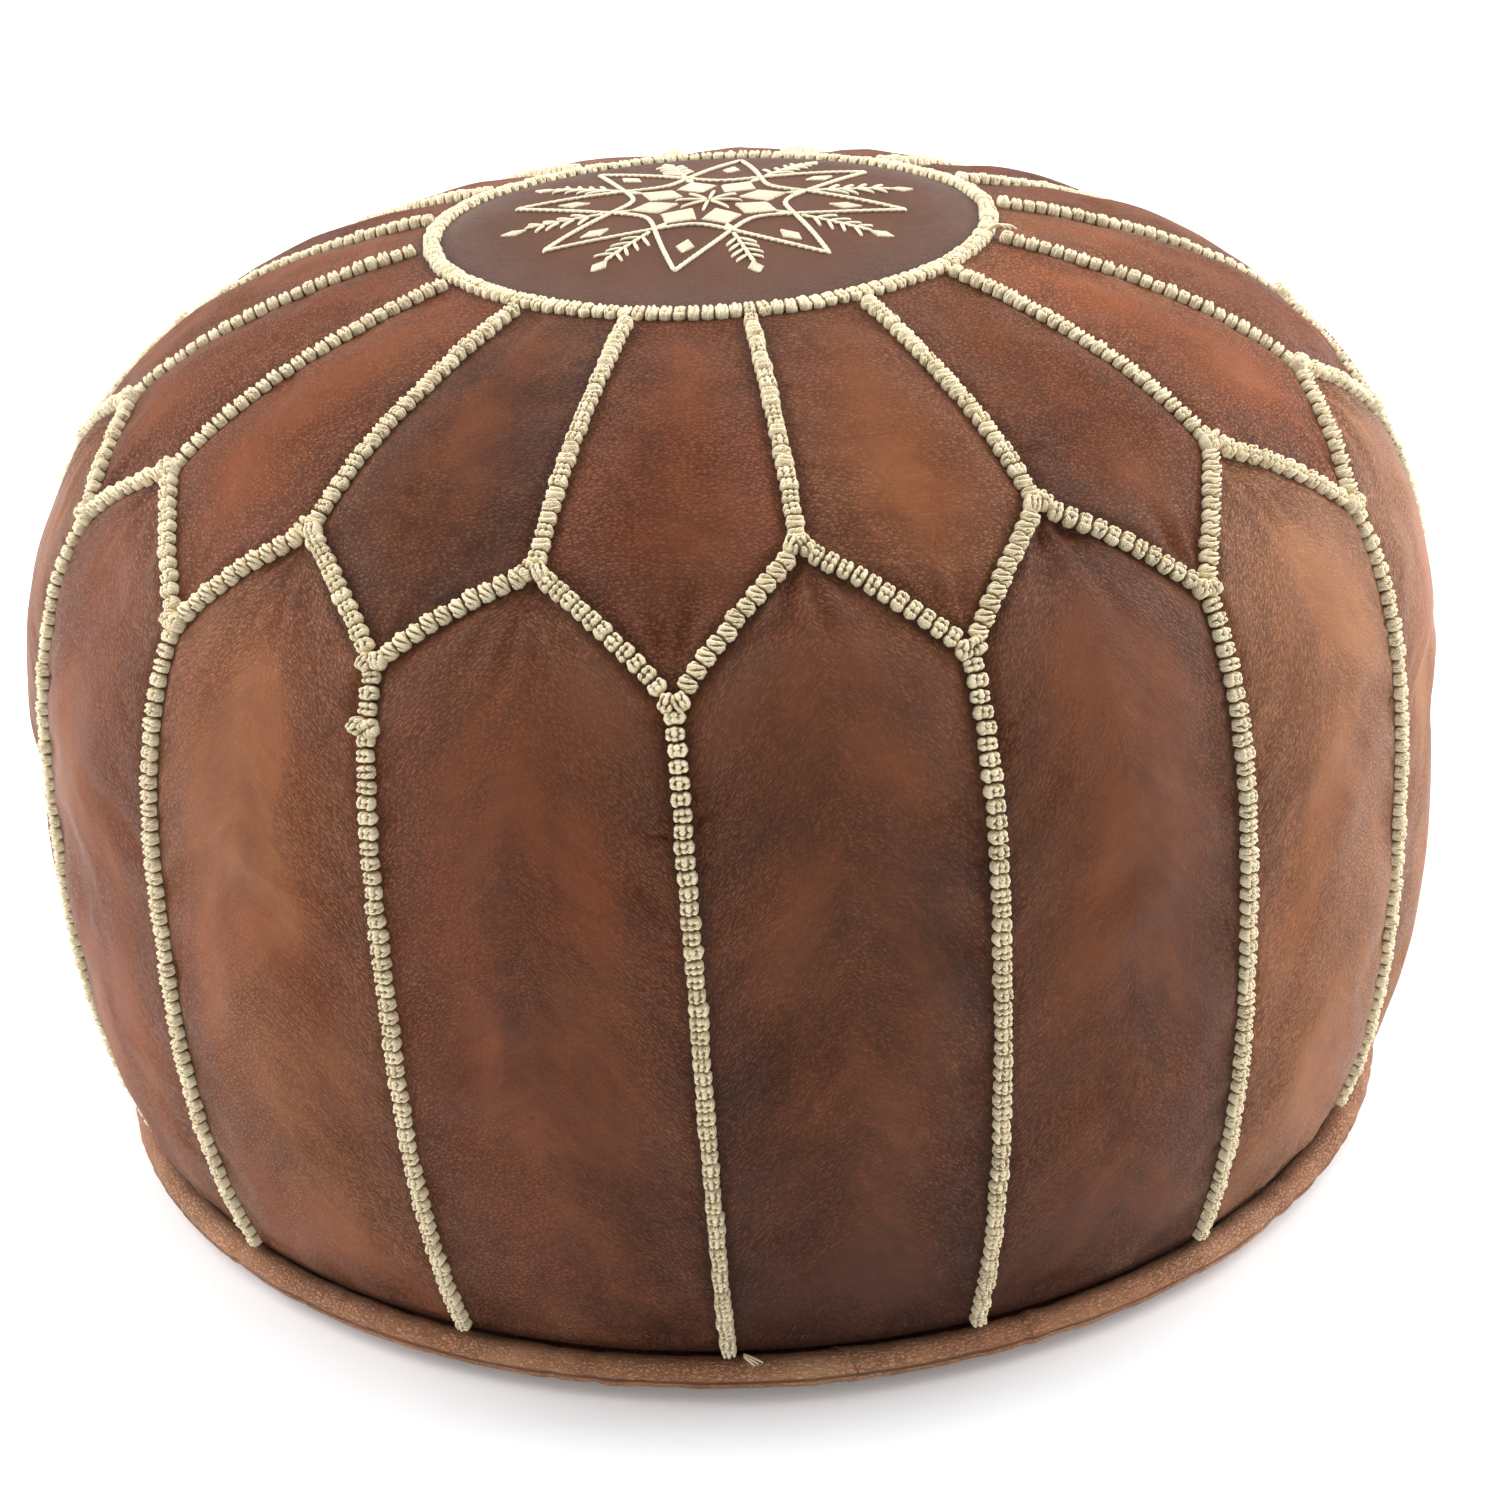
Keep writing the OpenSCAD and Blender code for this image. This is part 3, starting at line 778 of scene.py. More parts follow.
def build_junction_knots(material):
    """A pair of larger knots where three seams meet."""
    rows = []
    for k in range(PANELS):
        draw = np.random.default_rng(500 + k)
        meetings = (
            (seam_node("high", k), radial_seam(k, np.linspace(0.9, 1.0, 5))),
            (seam_node("low", k), side_seam(k, np.linspace(0, 0.05, 5))),
        )
        for node, seam in meetings:
            up = skin_normal(node[0], node[1])
            centre = place(node[0], node[1], BRAID_FLOOR + 0.3 * MM)
            along = unit(place(seam[-1, 0], seam[-1, 1]) - place(seam[0, 0], seam[0, 1]))
            side = np.cross(up, along)
            for offset in (-1, 1):
                spot = centre + side * offset * 2.2 * MM + along * draw.normal(0, 0.5 * MM)
                heading = unit(along + side * offset * draw.uniform(0.2, 0.7))
                rows.append(single_knot(spot, heading, up, (6.8 * MM, 5.6 * MM, 5.2 * MM), draw))
    # A double knot where a thread was joined on one front seam
    joint = seam_node("low", -1) + (seam_node("foot", -1) - seam_node("low", -1)) * 0.125
    up = skin_normal(joint[0], joint[1])
    east = unit(place(joint[0] + 0.2, joint[1]) - place(joint[0] - 0.2, joint[1]))
    draw = np.random.default_rng(590)
    for offset, size in ((-2.8, 6.4), (2.6, 6.0)):
        spot = place(joint[0], joint[1], BRAID_FLOOR + 0.6 * MM) + east * offset * MM
        heading = unit(np.cross(east, up) + east * 0.25 * offset)
        rows.append(single_knot(spot, heading, up, (size * MM, size * 0.9 * MM, 5.4 * MM), draw))
    knots_object("junction_knots", rows, [], material)


def single_knot(spot, heading, up, size, draw):
    """One knot laid by itself."""
    shape = BEADED_KNOTS[int(draw.integers(len(BEADED_KNOTS)))]
    side = unit(np.cross(up, heading))
    way = unit(np.cross(side, up))
    verts = spot + shape[:, :1] * size[0] * way + shape[:, 1:2] * size[1] * side + shape[:, 2:] * size[2] * up
    return [verts], [shape * np.array(size) / MM], [np.full(len(shape), draw.random())]


# ---- stuffing, piping and base ----

STUFFING_LIFT = -6.5 * MM
STUFFING_FLOOR = 12.5 * MM
BASE_EDGE = 236.4 * MM
FLAT_R = 204 * MM
RIM_RISE = 9.5 * MM
ZIP_LENGTH = 348 * MM
ZIP_RISE = 5 * MM
ZIP_SLOT = 7 * MM
CHANNEL_END = 218 * MM
EDGE_GAP = 0.6 * MM


def build_stuffing(material):
    """The lumpy filling just inside the leather."""
    columns = 96
    turn = np.linspace(0, 360, columns, endpoint=False)
    heights = np.linspace(89, float(angle_at_z(STUFFING_FLOOR + 8 * MM)), 50)
    direction, t = turn[None] + 0 * heights[:, None], heights[:, None] + 0 * turn[None]
    skin = place(direction, t, STUFFING_LIFT)
    skin = skin + skin_normal(direction, t) * (0.8 * MM * noise_at(skin, 45 * MM, 90) - 0.8 * MM)[..., None]
    outer = np.hypot(skin[-1, :, 0], skin[-1, :, 1])
    under = [at_height(polar(outer * share, turn), STUFFING_FLOOR) for share in (0.96, 0.9, 0.7, 0.4, 0.1)]
    verts = np.concatenate([skin, np.stack(under)])
    faces = flipped(tube_faces(len(verts), columns))
    obj = make_object("filling", verts.reshape(-1, 3), faces, material)
    finish_piece(obj, ["stuffing"])


PIPING_STATIONS, PIPING_SIDES = 420, 28
PIPING_JOINT = 8.0


def build_piping(name, node, start, end, lap, material):
    """Half of the piping: a leather tube with cross creases whose first end laps over the other half."""
    share = np.linspace(0, 1, PIPING_STATIONS)
    phi = np.linspace(0, 2 * math.pi, PIPING_SIDES, endpoint=False)
    first = start - lap
    direction = first + (end - first) * share[:, None] + 0 * phi[None]
    direction = direction + 1.1 * np.cos(phi)[None] * np.exp(-((share[:, None] * (end - first) / 2.4) ** 2))
    around = at_height(polar(1.0, direction), 0)
    ring = around * PIPING_RING + np.array([0, 0, PIPING_Z])
    fold = noise_at(ring + phi[None, :, None] * 1.5 * MM, 9 * MM, 44)
    slow = noise_at(ring, 60 * MM, 45)
    pucker = np.maximum(noise_at(ring, 5.5 * MM, 46), 0) ** 1.5
    onto = 0.55 * MM * smooth(1 - (direction - first) / (lap + 1.2))
    radius = PIPING_R - 0.35 * MM + 0.42 * MM * fold + 0.35 * MM * slow - 1.0 * MM * pucker + onto
    points = ring + around * (radius * np.cos(phi))[..., None]
    points[..., 2] = np.maximum(points[..., 2] + radius * np.sin(phi), 2.6 * MM)
    # Distance round the tube from its upper inner side, where the panels overhang it; the leather material
    # paints shade there.
    inside = np.abs((phi - 2.0 + math.pi) % (2 * math.pi) - math.pi)[None] * PIPING_R / MM + 0 * direction
    leather_object(
        name, node, points, flipped(tube_faces(PIPING_STATIONS, PIPING_SIDES)), material,
        np.stack(np.broadcast_arrays(np.radians(direction) * PIPING_RING, phi * PIPING_R, 5.0), -1),
        inside + 1.5, (0.55 + 0.25 * slow).ravel(), 0.35, sheet=0,
    )


def base_height(x, y):
    rim = RIM_RISE * smooth((np.hypot(x, y) - FLAT_R) / (BASE_EDGE - FLAT_R))
    across = smooth((36 * MM - np.abs(y)) / (31 * MM - ZIP_SLOT))
    along = smooth((CHANNEL_END - np.abs(x)) / (28 * MM))
    return np.maximum(rim, ZIP_RISE * across * along)


def slot_edge(x):
    inside = smooth((ZIP_LENGTH / 2 + 14 * MM - np.abs(x)) / (11 * MM))
    return EDGE_GAP / 2 + (ZIP_SLOT - EDGE_GAP / 2) * inside


def build_base(name, node, side, material):
    """Half of the base, from the edge of the zip opening to the piping."""
    columns, rows = 181, 81
    x = BASE_EDGE * np.sin(np.linspace(-1, 1, columns) * math.radians(89.2))[None, :]
    near = slot_edge(x)
    far = np.sqrt(BASE_EDGE**2 - x**2)
    share = (np.linspace(0, 1, rows) ** 1.25)[:, None]
    y = near + np.maximum(far - near, 0.2 * MM) * share
    radius = np.hypot(x, y)
    turn = np.arctan2(x + 0 * y, y)
    pleats = 0.5 * MM * np.sin(turn * 90 + 2 * np.sin(turn * 17)) * smooth((radius - 212 * MM) / (16 * MM))
    flat = np.stack([x + 0 * y, side * y, 0 * y], -1)
    wrinkle = 0.5 * MM * (1 + noise_at(flat, 45 * MM, 61)) * smooth((BASE_EDGE - radius) / (12 * MM))
    wrinkle = wrinkle * smooth((y - near) / (20 * MM))
    z = base_height(x, y) + 0.3 * MM + wrinkle + pleats * smooth((BASE_EDGE - radius) / (4 * MM))
    points = np.stack([x + 0 * y, side * y, np.maximum(z, 0.05 * MM)], -1)
    faces = grid_faces(rows, columns)
    # Distance to the rim and to the zip opening; the leather material paints shade near both.
    gap = np.minimum(BASE_EDGE - radius, y - near + 2 * MM)
    leather_object(
        name, node, points, faces if side < 0 else flipped(faces), material,
        points + np.array([0, 0, 3.0]), gap / MM, 0.5, 0.4,
    )


COIL_PITCH = 1.45 * MM
COIL_TURN, COIL_SIDES = 12, 6
COIL_Y, COIL_Z = 1.55 * MM, 5.6 * MM
COIL_WIRE = 0.36 * MM


def build_coil(name, node, side, material):
    """The nylon coil along one edge of the zip, wound turn by turn."""
    turns = int((ZIP_LENGTH - 1 * MM) / COIL_PITCH)
    steps = turns * COIL_TURN + 1
    angle = np.arange(steps) * 2 * math.pi / COIL_TURN
    reach = turns * COIL_PITCH
    x = -reach / 2 + reach * np.arange(steps) / (steps - 1) + (0 if side > 0 else COIL_PITCH / 2)
    middle = np.stack([x, 0 * x + side * COIL_Y, 0 * x + COIL_Z], -1)
    centre = middle + np.stack([0 * x, side * 1.15 * MM * np.cos(angle), 0.72 * MM * np.sin(angle)], -1)
    ahead = unit(np.gradient(centre, axis=0))
    outward = unit(centre - middle)
    outward = unit(outward - ahead * (outward * ahead).sum(-1, keepdims=True))
    points = tube_points(centre, COIL_WIRE, COIL_SIDES, outward, np.cross(ahead, outward))
    obj = make_object(name, points.reshape(-1, 3), tube_faces(steps, COIL_SIDES), material)
    finish_piece(obj, [node])


TAIL_RINGS, TAIL_SIDES = 14, 8


def build_thread_tails(material):
    """Loose ends of silk: one over the piping below the front seam, one at the ring."""
    draw = np.random.default_rng(640)
    foot = seam_node("foot", 0)[0] + 1.2
    ring = seam_node("ring", 4)
    share = np.linspace(0, 1, TAIL_RINGS)
    tails = []
    for strand in range(3):
        turn = np.radians(np.linspace(84, 52, TAIL_RINGS) + 4 * strand)
        reach = PIPING_R + 0.5 * MM + 0.25 * MM * strand
        direction = foot + (0.8 + 0.35 * strand) * share + draw.normal(0, 0.05)
        plan = polar(PIPING_RING + reach * np.cos(turn), direction)
        tails.append(at_height(plan, (PIPING_Z + reach * np.sin(turn))[:, None]))
        direction, t = ring[0] + share * (0.6 + 0.5 * strand), ring[1] - share * (1.4 + 0.4 * strand)
        tails.append(place(direction, t, 3.4 * MM * np.sin(share * 2.4) + 0.5 * MM))
    radius = (0.5 * MM * (1 - 0.45 * share**3))[:, None, None]
    tubes, faces = [], []
    for path in tails:
        ahead = unit(np.gradient(path, axis=0))
        side = unit(np.cross(ahead, [0.3, 0.2, 1.0]))
        faces += flipped(tube_faces(TAIL_RINGS, TAIL_SIDES, len(tubes) * TAIL_RINGS * TAIL_SIDES))
        tubes.append(tube_points(path, radius, TAIL_SIDES, side, np.cross(side, ahead)))
    points = np.concatenate(tubes).reshape(-1, 3)
    tone = np.full(len(points), 0.8)
    thread_object("thread_tails", [], points, faces, material, points / MM, tone)


# ---- embroidery on the medallion ----

STITCH_RINGS, STITCH_SIDES = 7, 8


def on_medallion(xy, lift):
    """Points and normals on the medallion's leather above places given in plan."""
    r = np.hypot(xy[:, 0], xy[:, 1])
    direction = np.degrees(np.arctan2(xy[:, 0], -xy[:, 1]))
    t = angle_at_r(r)
    base = place(direction, t)
    normal = skin_normal(direction, t)
    return base + normal * (medallion_lift(r, base) + lift)[:, None], normal


def stitches(starts, ends, width, height):
    """Threads laid straight from starts to ends in plan: points, local places and tones."""
    starts, ends = np.asarray(starts, float), np.asarray(ends, float)
    width = np.broadcast_to(np.asarray(width, float), len(starts))
    f = (1 - np.cos(np.linspace(0, 1, STITCH_RINGS) * math.pi)) / 2
    arch = np.sin(np.linspace(0, 1, STITCH_RINGS) * math.pi) ** 0.45
    phi = np.linspace(0, 2 * math.pi, STITCH_SIDES, endpoint=False)
    line = ends - starts
    length = np.linalg.norm(line, axis=1)
    way = line / length[:, None]
    side = np.stack([-way[:, 1], way[:, 0]], -1)
    spread = 0.5 * width[:, None, None] * (0.35 + 0.65 * arch)[None, :, None] * np.cos(phi)
    plan = starts[:, None, None] + line[:, None, None] * f[None, :, None, None]
    plan = plan + side[:, None, None] * spread[..., None]
    rise = height * (arch[:, None] * 0.75 - 0.35) + 0.5 * height * np.sin(phi) * (0.4 + 0.6 * arch)[:, None]
    rise = np.broadcast_to(rise, spread.shape)
    points, _ = on_medallion(plan.reshape(-1, 2), rise.ravel())
    along = np.broadcast_to(f[None, :, None] * length[:, None, None], spread.shape)
    local = np.stack([along, spread, rise], -1).reshape(-1, 3) / MM
    local[:, 2] += np.repeat(np.arange(len(starts)) * 3.3, STITCH_RINGS * STITCH_SIDES)
    tone = np.repeat(np.random.default_rng(len(starts)).random(len(starts)), STITCH_RINGS * STITCH_SIDES)
    return points, local, tone


def stitch_object(name, parts, nodes, material):
    size = STITCH_RINGS * STITCH_SIDES
    template = tube_faces(STITCH_RINGS, STITCH_SIDES)
    points, local, tone = (np.concatenate([part[i] for part in parts]) for i in range(3))
    faces = [tuple(i + n * size for i in face) for n in range(len(points) // size) for face in template]
    thread_object(name, nodes, points, faces, material, local, tone)


def stem_stitch(path, step, length, width, draw):
    """A line of overlapping slanted stitches along a path in plan."""
    lengths = path_lengths(path)
    count = max(1, int(round(lengths[-1] / step)))
    at = (np.arange(count) + 0.5) * lengths[-1] / count
    starts, ends = [], []
    for centre in at:
        p = along_path(path, lengths, max(0, centre - length / 2))
        q = along_path(path, lengths, min(lengths[-1], centre + length / 2))
        side = np.array([-(q - p)[1], (q - p)[0]]) / max(1e-9, np.linalg.norm(q - p))
        lean = 0.30 * MM + draw.normal(0, 0.06 * MM)
        starts.append(p - side * lean)
        ends.append(q + side * lean)
    return stitches(starts, ends, width, width * 0.8)


def satin(corners, spacing, width, draw):
    """Threads side by side across a four-cornered shape, from the first-second edges to the other two."""
    a, b, c, d = (np.asarray(corner, float) for corner in corners)
    span = np.linalg.norm(c - a)
    count = max(3, int(round(span / spacing)))
    starts, ends = [], []
    for i in range(count):
        f = (i + 0.5) / count
        left = a + (b - a) * f * 2 if f < 0.5 else b + (c - b) * (f * 2 - 1)
        right = a + (d - a) * f * 2 if f < 0.5 else d + (c - d) * (f * 2 - 1)
        stretch = (right - left) * draw.uniform(0.0, 0.05)
        starts.append(left - stretch)
        ends.append(right + stretch)
    keep = [i for i in range(count) if np.linalg.norm(ends[i] - starts[i]) > 0.7 * MM]
    return stitches([starts[i] for i in keep], [ends[i] for i in keep], width, width * 1.1)


def rhomb(inner, outer, half_width, direction, waist=0.5):
    """Corners of a rhomb that points outwards, first its inner tip."""
    middle = inner + (outer - inner) * waist
    centre = polar(middle, direction)
    side = np.array([math.cos(math.radians(direction)), math.sin(math.radians(direction))])
    half = side * half_width
    return [polar(inner, direction), centre - half, polar(outer, direction), centre + half]


STAR_TURN = -10.5
STAR_STEP = 45.0
STAR_TIP = 72 * MM
STAR_INNER = 30.5 * MM
THREAD = 1.7 * MM


def build_star(material):
    """Eight arcs, each from one star tip to the next but one, crossing their neighbours."""
    draw = np.random.default_rng(810)
    parts = []
    s = np.linspace(0, 1, 60)[:, None]
    for k in range(8):
        first = STAR_TURN + STAR_STEP * k
        u, v = polar(1.0, first), polar(1.0, first + 90)
        knots = (u * STAR_TIP, -u * 1.7 * MM + v * STAR_INNER, u * STAR_INNER - v * 1.7 * MM, v * STAR_TIP)
        path = sum(math.comb(3, i) * (1 - s) ** (3 - i) * s**i * knots[i] for i in range(4))
        parts.append(stem_stitch(path, 2.9 * MM, 4.6 * MM, THREAD, draw))
    for k in range(8):
        point = STAR_TURN + STAR_STEP * k
        corners = rhomb(43.5 * MM, 56.5 * MM, 3.4 * MM, point)
        parts.append(satin(corners, 0.62 * MM, 0.72 * MM, draw))
        leaf = rhomb(28 * MM, 38 * MM, 2.0 * MM, point + STAR_STEP / 2)
        parts.append(satin(leaf, 0.62 * MM, 0.72 * MM, draw))
    stitch_object("star_stitches", parts, ["star_embroidery"], material)


def build_ferns(material):
    draw = np.random.default_rng(820)
    parts = []
    for k in range(8):
        way = STAR_TURN + STAR_STEP * (k + 0.5)
        bend = draw.normal(0, 0.7)
        radii = np.linspace(39 * MM, 68 * MM, 20)
        stem = polar(radii, way + bend * np.linspace(0, 1, 20))
        parts.append(stem_stitch(stem, 2.9 * MM, 4.4 * MM, THREAD * 0.9, draw))
        starts, ends = [], []
        for i, r in enumerate((44.5 * MM, 50 * MM, 55.5 * MM, 61 * MM)):
            root = polar(r, way)
            for side in (-1, 1):
                reach = (8.6 - 0.5 * i + draw.normal(0, 0.5)) * MM
                lean = math.radians(way + side * (46 + draw.normal(0, 4)))
                tip = root + reach * np.array([math.sin(lean), -math.cos(lean)])
                starts.append(root)
                ends.append(tip)
        parts.append(stitches(starts, ends, THREAD * 0.85, THREAD * 0.75))
        parts.append(satin(rhomb(67 * MM, 77.5 * MM, 2.9 * MM, way), 0.62 * MM, 0.72 * MM, draw))
    stitch_object("fern_stitches", parts, ["fern_embroidery"], material)


def build_rosette(material):
    draw = np.random.default_rng(830)
    parts = []
    starts, ends = [], []
    for k in range(8):
        way = STAR_TURN + STAR_STEP * k
        petal = rhomb(11.0 * MM, 29.0 * MM, 7.6 * MM, way + STAR_STEP / 2, 0.52)
        parts.append(satin(petal, 0.6 * MM, 0.72 * MM, draw))
        starts.append(polar(0.8 * MM, way))
        ends.append(polar(12.6 * MM, way))
    parts.append(stitches(starts, ends, THREAD * 0.8, THREAD * 0.8))
    stitch_object("rosette_stitches", parts, ["rosette_embroidery"], material)


# ---- materials ----

def rgb(colour, shade=1.0):
    return (*[c * shade for c in colour], 1.0)


class Nodes:
    """Short names for the nodes that the materials share."""

    def __init__(self, tree):
        self.tree = tree

    def add(self, kind, **settings):
        node = self.tree.nodes.new(kind)
        for key, value in settings.items():
            setattr(node, key, value)
        return node

    def link(self, source, target):
        if isinstance(source, bpy.types.NodeSocket):
            self.tree.links.new(source, target)
        else:
            target.default_value = source

    def attribute(self, name, output="Fac"):
        return self.add("ShaderNodeAttribute", attribute_name=name).outputs[output]

    def position(self):
        return self.add("ShaderNodeNewGeometry").outputs["Position"]

    def split(self, vector):
        node = self.add("ShaderNodeSeparateXYZ")
        self.link(vector, node.inputs[0])
        return node.outputs

    def math(self, operation, a, b=0.0, clamp=False):
        node = self.add("ShaderNodeMath", operation=operation, use_clamp=clamp)
        self.link(a, node.inputs[0])
        self.link(b, node.inputs[1])
        return node.outputs[0]

    def times(self, a, b, clamp=False):
        return self.math("MULTIPLY", a, b, clamp)

    def total(self, *terms):
        """The sum of values, each times its weight."""
        found = 0.0
        for value, weight in terms:
            found = self.math("ADD", found, self.times(value, weight))
        return found

    def scaled(self, vector, scale, shift=(0, 0, 0)):
        node = self.add("ShaderNodeMapping")
        self.link(vector, node.inputs["Vector"])
        node.inputs["Scale"].default_value = scale
        node.inputs["Location"].default_value = shift
        return node.outputs[0]

    def noise(self, vector, scale, shift=(0, 0, 0), detail=3.0, rough=0.5, distortion=0.0, output="Fac"):
        """Noise from 0 to 1; scale is how many features there are in a metre along X, Y and Z."""
        node = self.add("ShaderNodeTexNoise")
        self.link(self.scaled(vector, scale, shift), node.inputs["Vector"])
        settings = {"Scale": 1.0, "Detail": detail, "Roughness": rough, "Distortion": distortion}
        for key, value in settings.items():
            node.inputs[key].default_value = value
        return node.outputs[output]

    def voronoi(self, vector, feature="F1"):
        node = self.add("ShaderNodeTexVoronoi", feature=feature)
        self.link(vector, node.inputs["Vector"])
        node.inputs["Scale"].default_value = 1.0
        return node.outputs["Distance"]

    def remap(self, value, low, high, to_low=0.0, to_high=1.0):
        node = self.add("ShaderNodeMapRange", interpolation_type="SMOOTHSTEP")
        self.link(value, node.inputs[0])
        for i, v in enumerate((low, high, to_low, to_high)):
            node.inputs[i + 1].default_value = v
        return node.outputs[0]

    def mix(self, factor, a, b):
        node = self.add("ShaderNodeMix", data_type="RGBA")
        self.link(factor, node.inputs[0])
        self.link(a, node.inputs[6])
        self.link(b, node.inputs[7])
        return node.outputs[2]

    def over(self, colour, amount, strength, paint, shade=1.0):
        """Paint laid over a colour where amount is high."""
        return self.mix(self.times(amount, strength), colour, rgb(paint, shade))

    def bump(self, height, strength, distance, normal=None):
        node = self.add("ShaderNodeBump")
        self.link(height, node.inputs["Height"])
        node.inputs["Strength"].default_value = strength
        node.inputs["Distance"].default_value = distance
        if normal is not None:
            self.link(normal, node.inputs["Normal"])
        return node.outputs[0]


def new_material(name):
    material = bpy.data.materials.new(name)
    material.use_nodes = True
    tree = material.node_tree
    tree.nodes.clear()
    output = tree.nodes.new("ShaderNodeOutputMaterial")
    shader = tree.nodes.new("ShaderNodeBsdfPrincipled")
    tree.links.new(shader.outputs[0], output.inputs[0])
    return material, Nodes(tree), shader


def leather_tone(n, where):
    """Broad burnished clouds, smaller ones, wisps and specks, from dark to light about zero."""
    broad = n.noise(where, (13, 8, 13), detail=4.0, rough=0.55, distortion=0.7)
    cloudy = n.noise(where, (42, 24, 42), (3, 1, 5), 5.0, 0.62, 0.9)
    wisps = n.noise(where, (38, 62, 38), (7, 2, 1), 6.0, 0.68, 1.5)
    specks = n.noise(where, (420, 330, 420), detail=2.0, rough=0.6)
    tone = n.total((broad, 0.66), (cloudy, 0.45), (wisps, 0.42), (specks, 0.08))
    return n.times(n.math("SUBTRACT", tone, 0.78), 0.75), cloudy


def stains_and_seam_shade(n, where, seam, colour, dark, pale):
    """Wear and dirt over the dyed leather, and painted shade in the seam valleys beside the braids; returns
    the healed scratches too.
    """
    rubbed = n.remap(n.noise(where, (30, 16, 30), (11, 4, 8), 6.0, 0.66, 1.4), 0.57, 0.78)
    colour = n.over(colour, rubbed, 0.19, pale, 1.1)
    smear = n.remap(n.noise(where, (24, 9, 24), (31, 14, 2), 5.0, 0.6, 1.0), 0.55, 0.74)
    colour = n.over(colour, smear, 0.19, dark, 0.8)
    line = n.noise(where, (13, 7, 13), (2, 6, 1), 1.0, 0.4)
    thin = n.remap(n.math("ABSOLUTE", n.math("SUBTRACT", line, 0.5)), 0.0, 0.004, 1.0, 0.0)
    scratch = n.times(thin, n.remap(n.noise(where, (22, 22, 22), (5, 9, 3), 2.0), 0.56, 0.64))
    colour = n.over(colour, scratch, 0.14, pale)
    dots = n.remap(n.voronoi(n.scaled(where, (105, 120, 105))), 0.05, 0.10, 1.0, 0.0)
    pinholes = n.times(dots, n.remap(n.noise(where, (37, 37, 37), (9, 2, 7), 2.0), 0.60, 0.66))
    colour = n.over(colour, pinholes, 0.55, dark, 0.5)
    # Painted shade: the leather darkens within a few millimetres of each seam, where it dips towards the
    # braids.
    colour = n.over(colour, n.remap(seam, 2.5, 8.0, 1.0, 0.0), 0.50, dark, 0.55)
    return colour, scratch


def leather_grain(n, where, seam, grain):
    """Pebbles, the cracks between them and how strong both are at each place."""
    warp = n.noise(where, (1300, 1500, 1300), detail=2.0, output="Color")
    wobble = n.add("ShaderNodeVectorMath", operation="MULTIPLY_ADD")
    wobble.inputs[1].default_value = (1.6, 1.6, 1.6)
    n.link(warp, wobble.inputs[0])
    n.link(n.scaled(where, (480, 780, 480)), wobble.inputs[2])
    pebble = n.voronoi(wobble.outputs[0], "SMOOTH_F1")
    crack = n.remap(n.voronoi(wobble.outputs[0], "DISTANCE_TO_EDGE"), 0.0, 0.15, 1.0, 0.0)
    patch = n.remap(n.noise(where, (21, 15, 21), (1, 1, 1)), 0.40, 0.64, 0.25, 1.0)
    near = n.remap(seam, 2.0, 34.0, 0.55, 0.0)
    return pebble, crack, n.times(n.total((patch, 0.65), (near, 1.0)), grain)


def leather_material(name, brown, red, roughness=0.44, grain=1.0, gloss=0.16):
    """Waxed goat leather: burnished stains, smoky smears, pebbled grain that is bolder near the seams,
    painted shade along the seams and in the grain's cracks, and a painted highlight on the pebbles' tops.

    brown and red are two ramps, each of a dark, a middle and a light colour."""
    material, n, shader = new_material(name)
    where = n.attribute("grain", "Vector")
    seam = n.attribute("seam")
    tone, cloudy = leather_tone(n, where)
    tone = n.math("ADD", tone, n.attribute("tint"))
    low, high = n.remap(tone, 0.08, 0.50), n.remap(tone, 0.45, 1.0)
    ramps = [n.mix(high, n.mix(low, rgb(ramp[0]), rgb(ramp[1])), rgb(ramp[2])) for ramp in (brown, red)]
    hue = n.noise(where, (17, 13, 17), (21, 8, 4), 4.0, 0.55, 0.6)
    hue = n.total((hue, 1.2), (n.attribute("warmth"), 1.0))
    colour = n.mix(n.remap(hue, 0.85, 1.45), *ramps)
    colour, scratch = stains_and_seam_shade(n, where, seam, colour, brown[0], red[2])

    pebble, crack, amount = leather_grain(n, where, seam, grain)
    pit_shade = n.times(crack, amount, clamp=True)
    crown = n.times(n.remap(pebble, 0.05, 0.35, 1.0, 0.0), amount, clamp=True)
    # Painted shade: the cracks between the pebbles are darkened, most near the seams; the same mask also
    # roughens the cracks.
    colour = n.over(colour, pit_shade, 0.56, brown[0], 0.5)
    # Painted highlight: the pebbles' tops are lightened.
    n.link(n.over(colour, crown, 0.10, brown[2]), shader.inputs["Base Color"])

    fine = n.noise(where, (2400, 3400, 2400), detail=2.0)
    soft = n.noise(where, (110, 150, 110), (4, 4, 4), 4.0, 0.55, 0.5)
    low_bump = n.bump(n.total((soft, 1.0), (scratch, -0.4)), 0.28, 0.9 * MM)
    height = n.total((n.times(n.total((pebble, -0.6), (crack, -0.5)), amount), 1.0), (fine, 0.07))
    n.link(n.bump(height, 1.0, 0.95 * MM, low_bump), shader.inputs["Normal"])

    rough = n.total((n.remap(cloudy, 0.3, 0.7, roughness - 0.05, roughness + 0.10), 1.0), (pit_shade, 0.15))
    rough = n.math("SUBTRACT", rough, n.remap(seam, 3.0, 30.0, 0.07, 0.0))
    n.link(rough, shader.inputs["Roughness"])
    n.link(n.remap(seam, 3.0, 30.0, gloss + 0.12, gloss), shader.inputs["Specular IOR Level"])
    shader.inputs["IOR"].default_value = 1.47
    return material


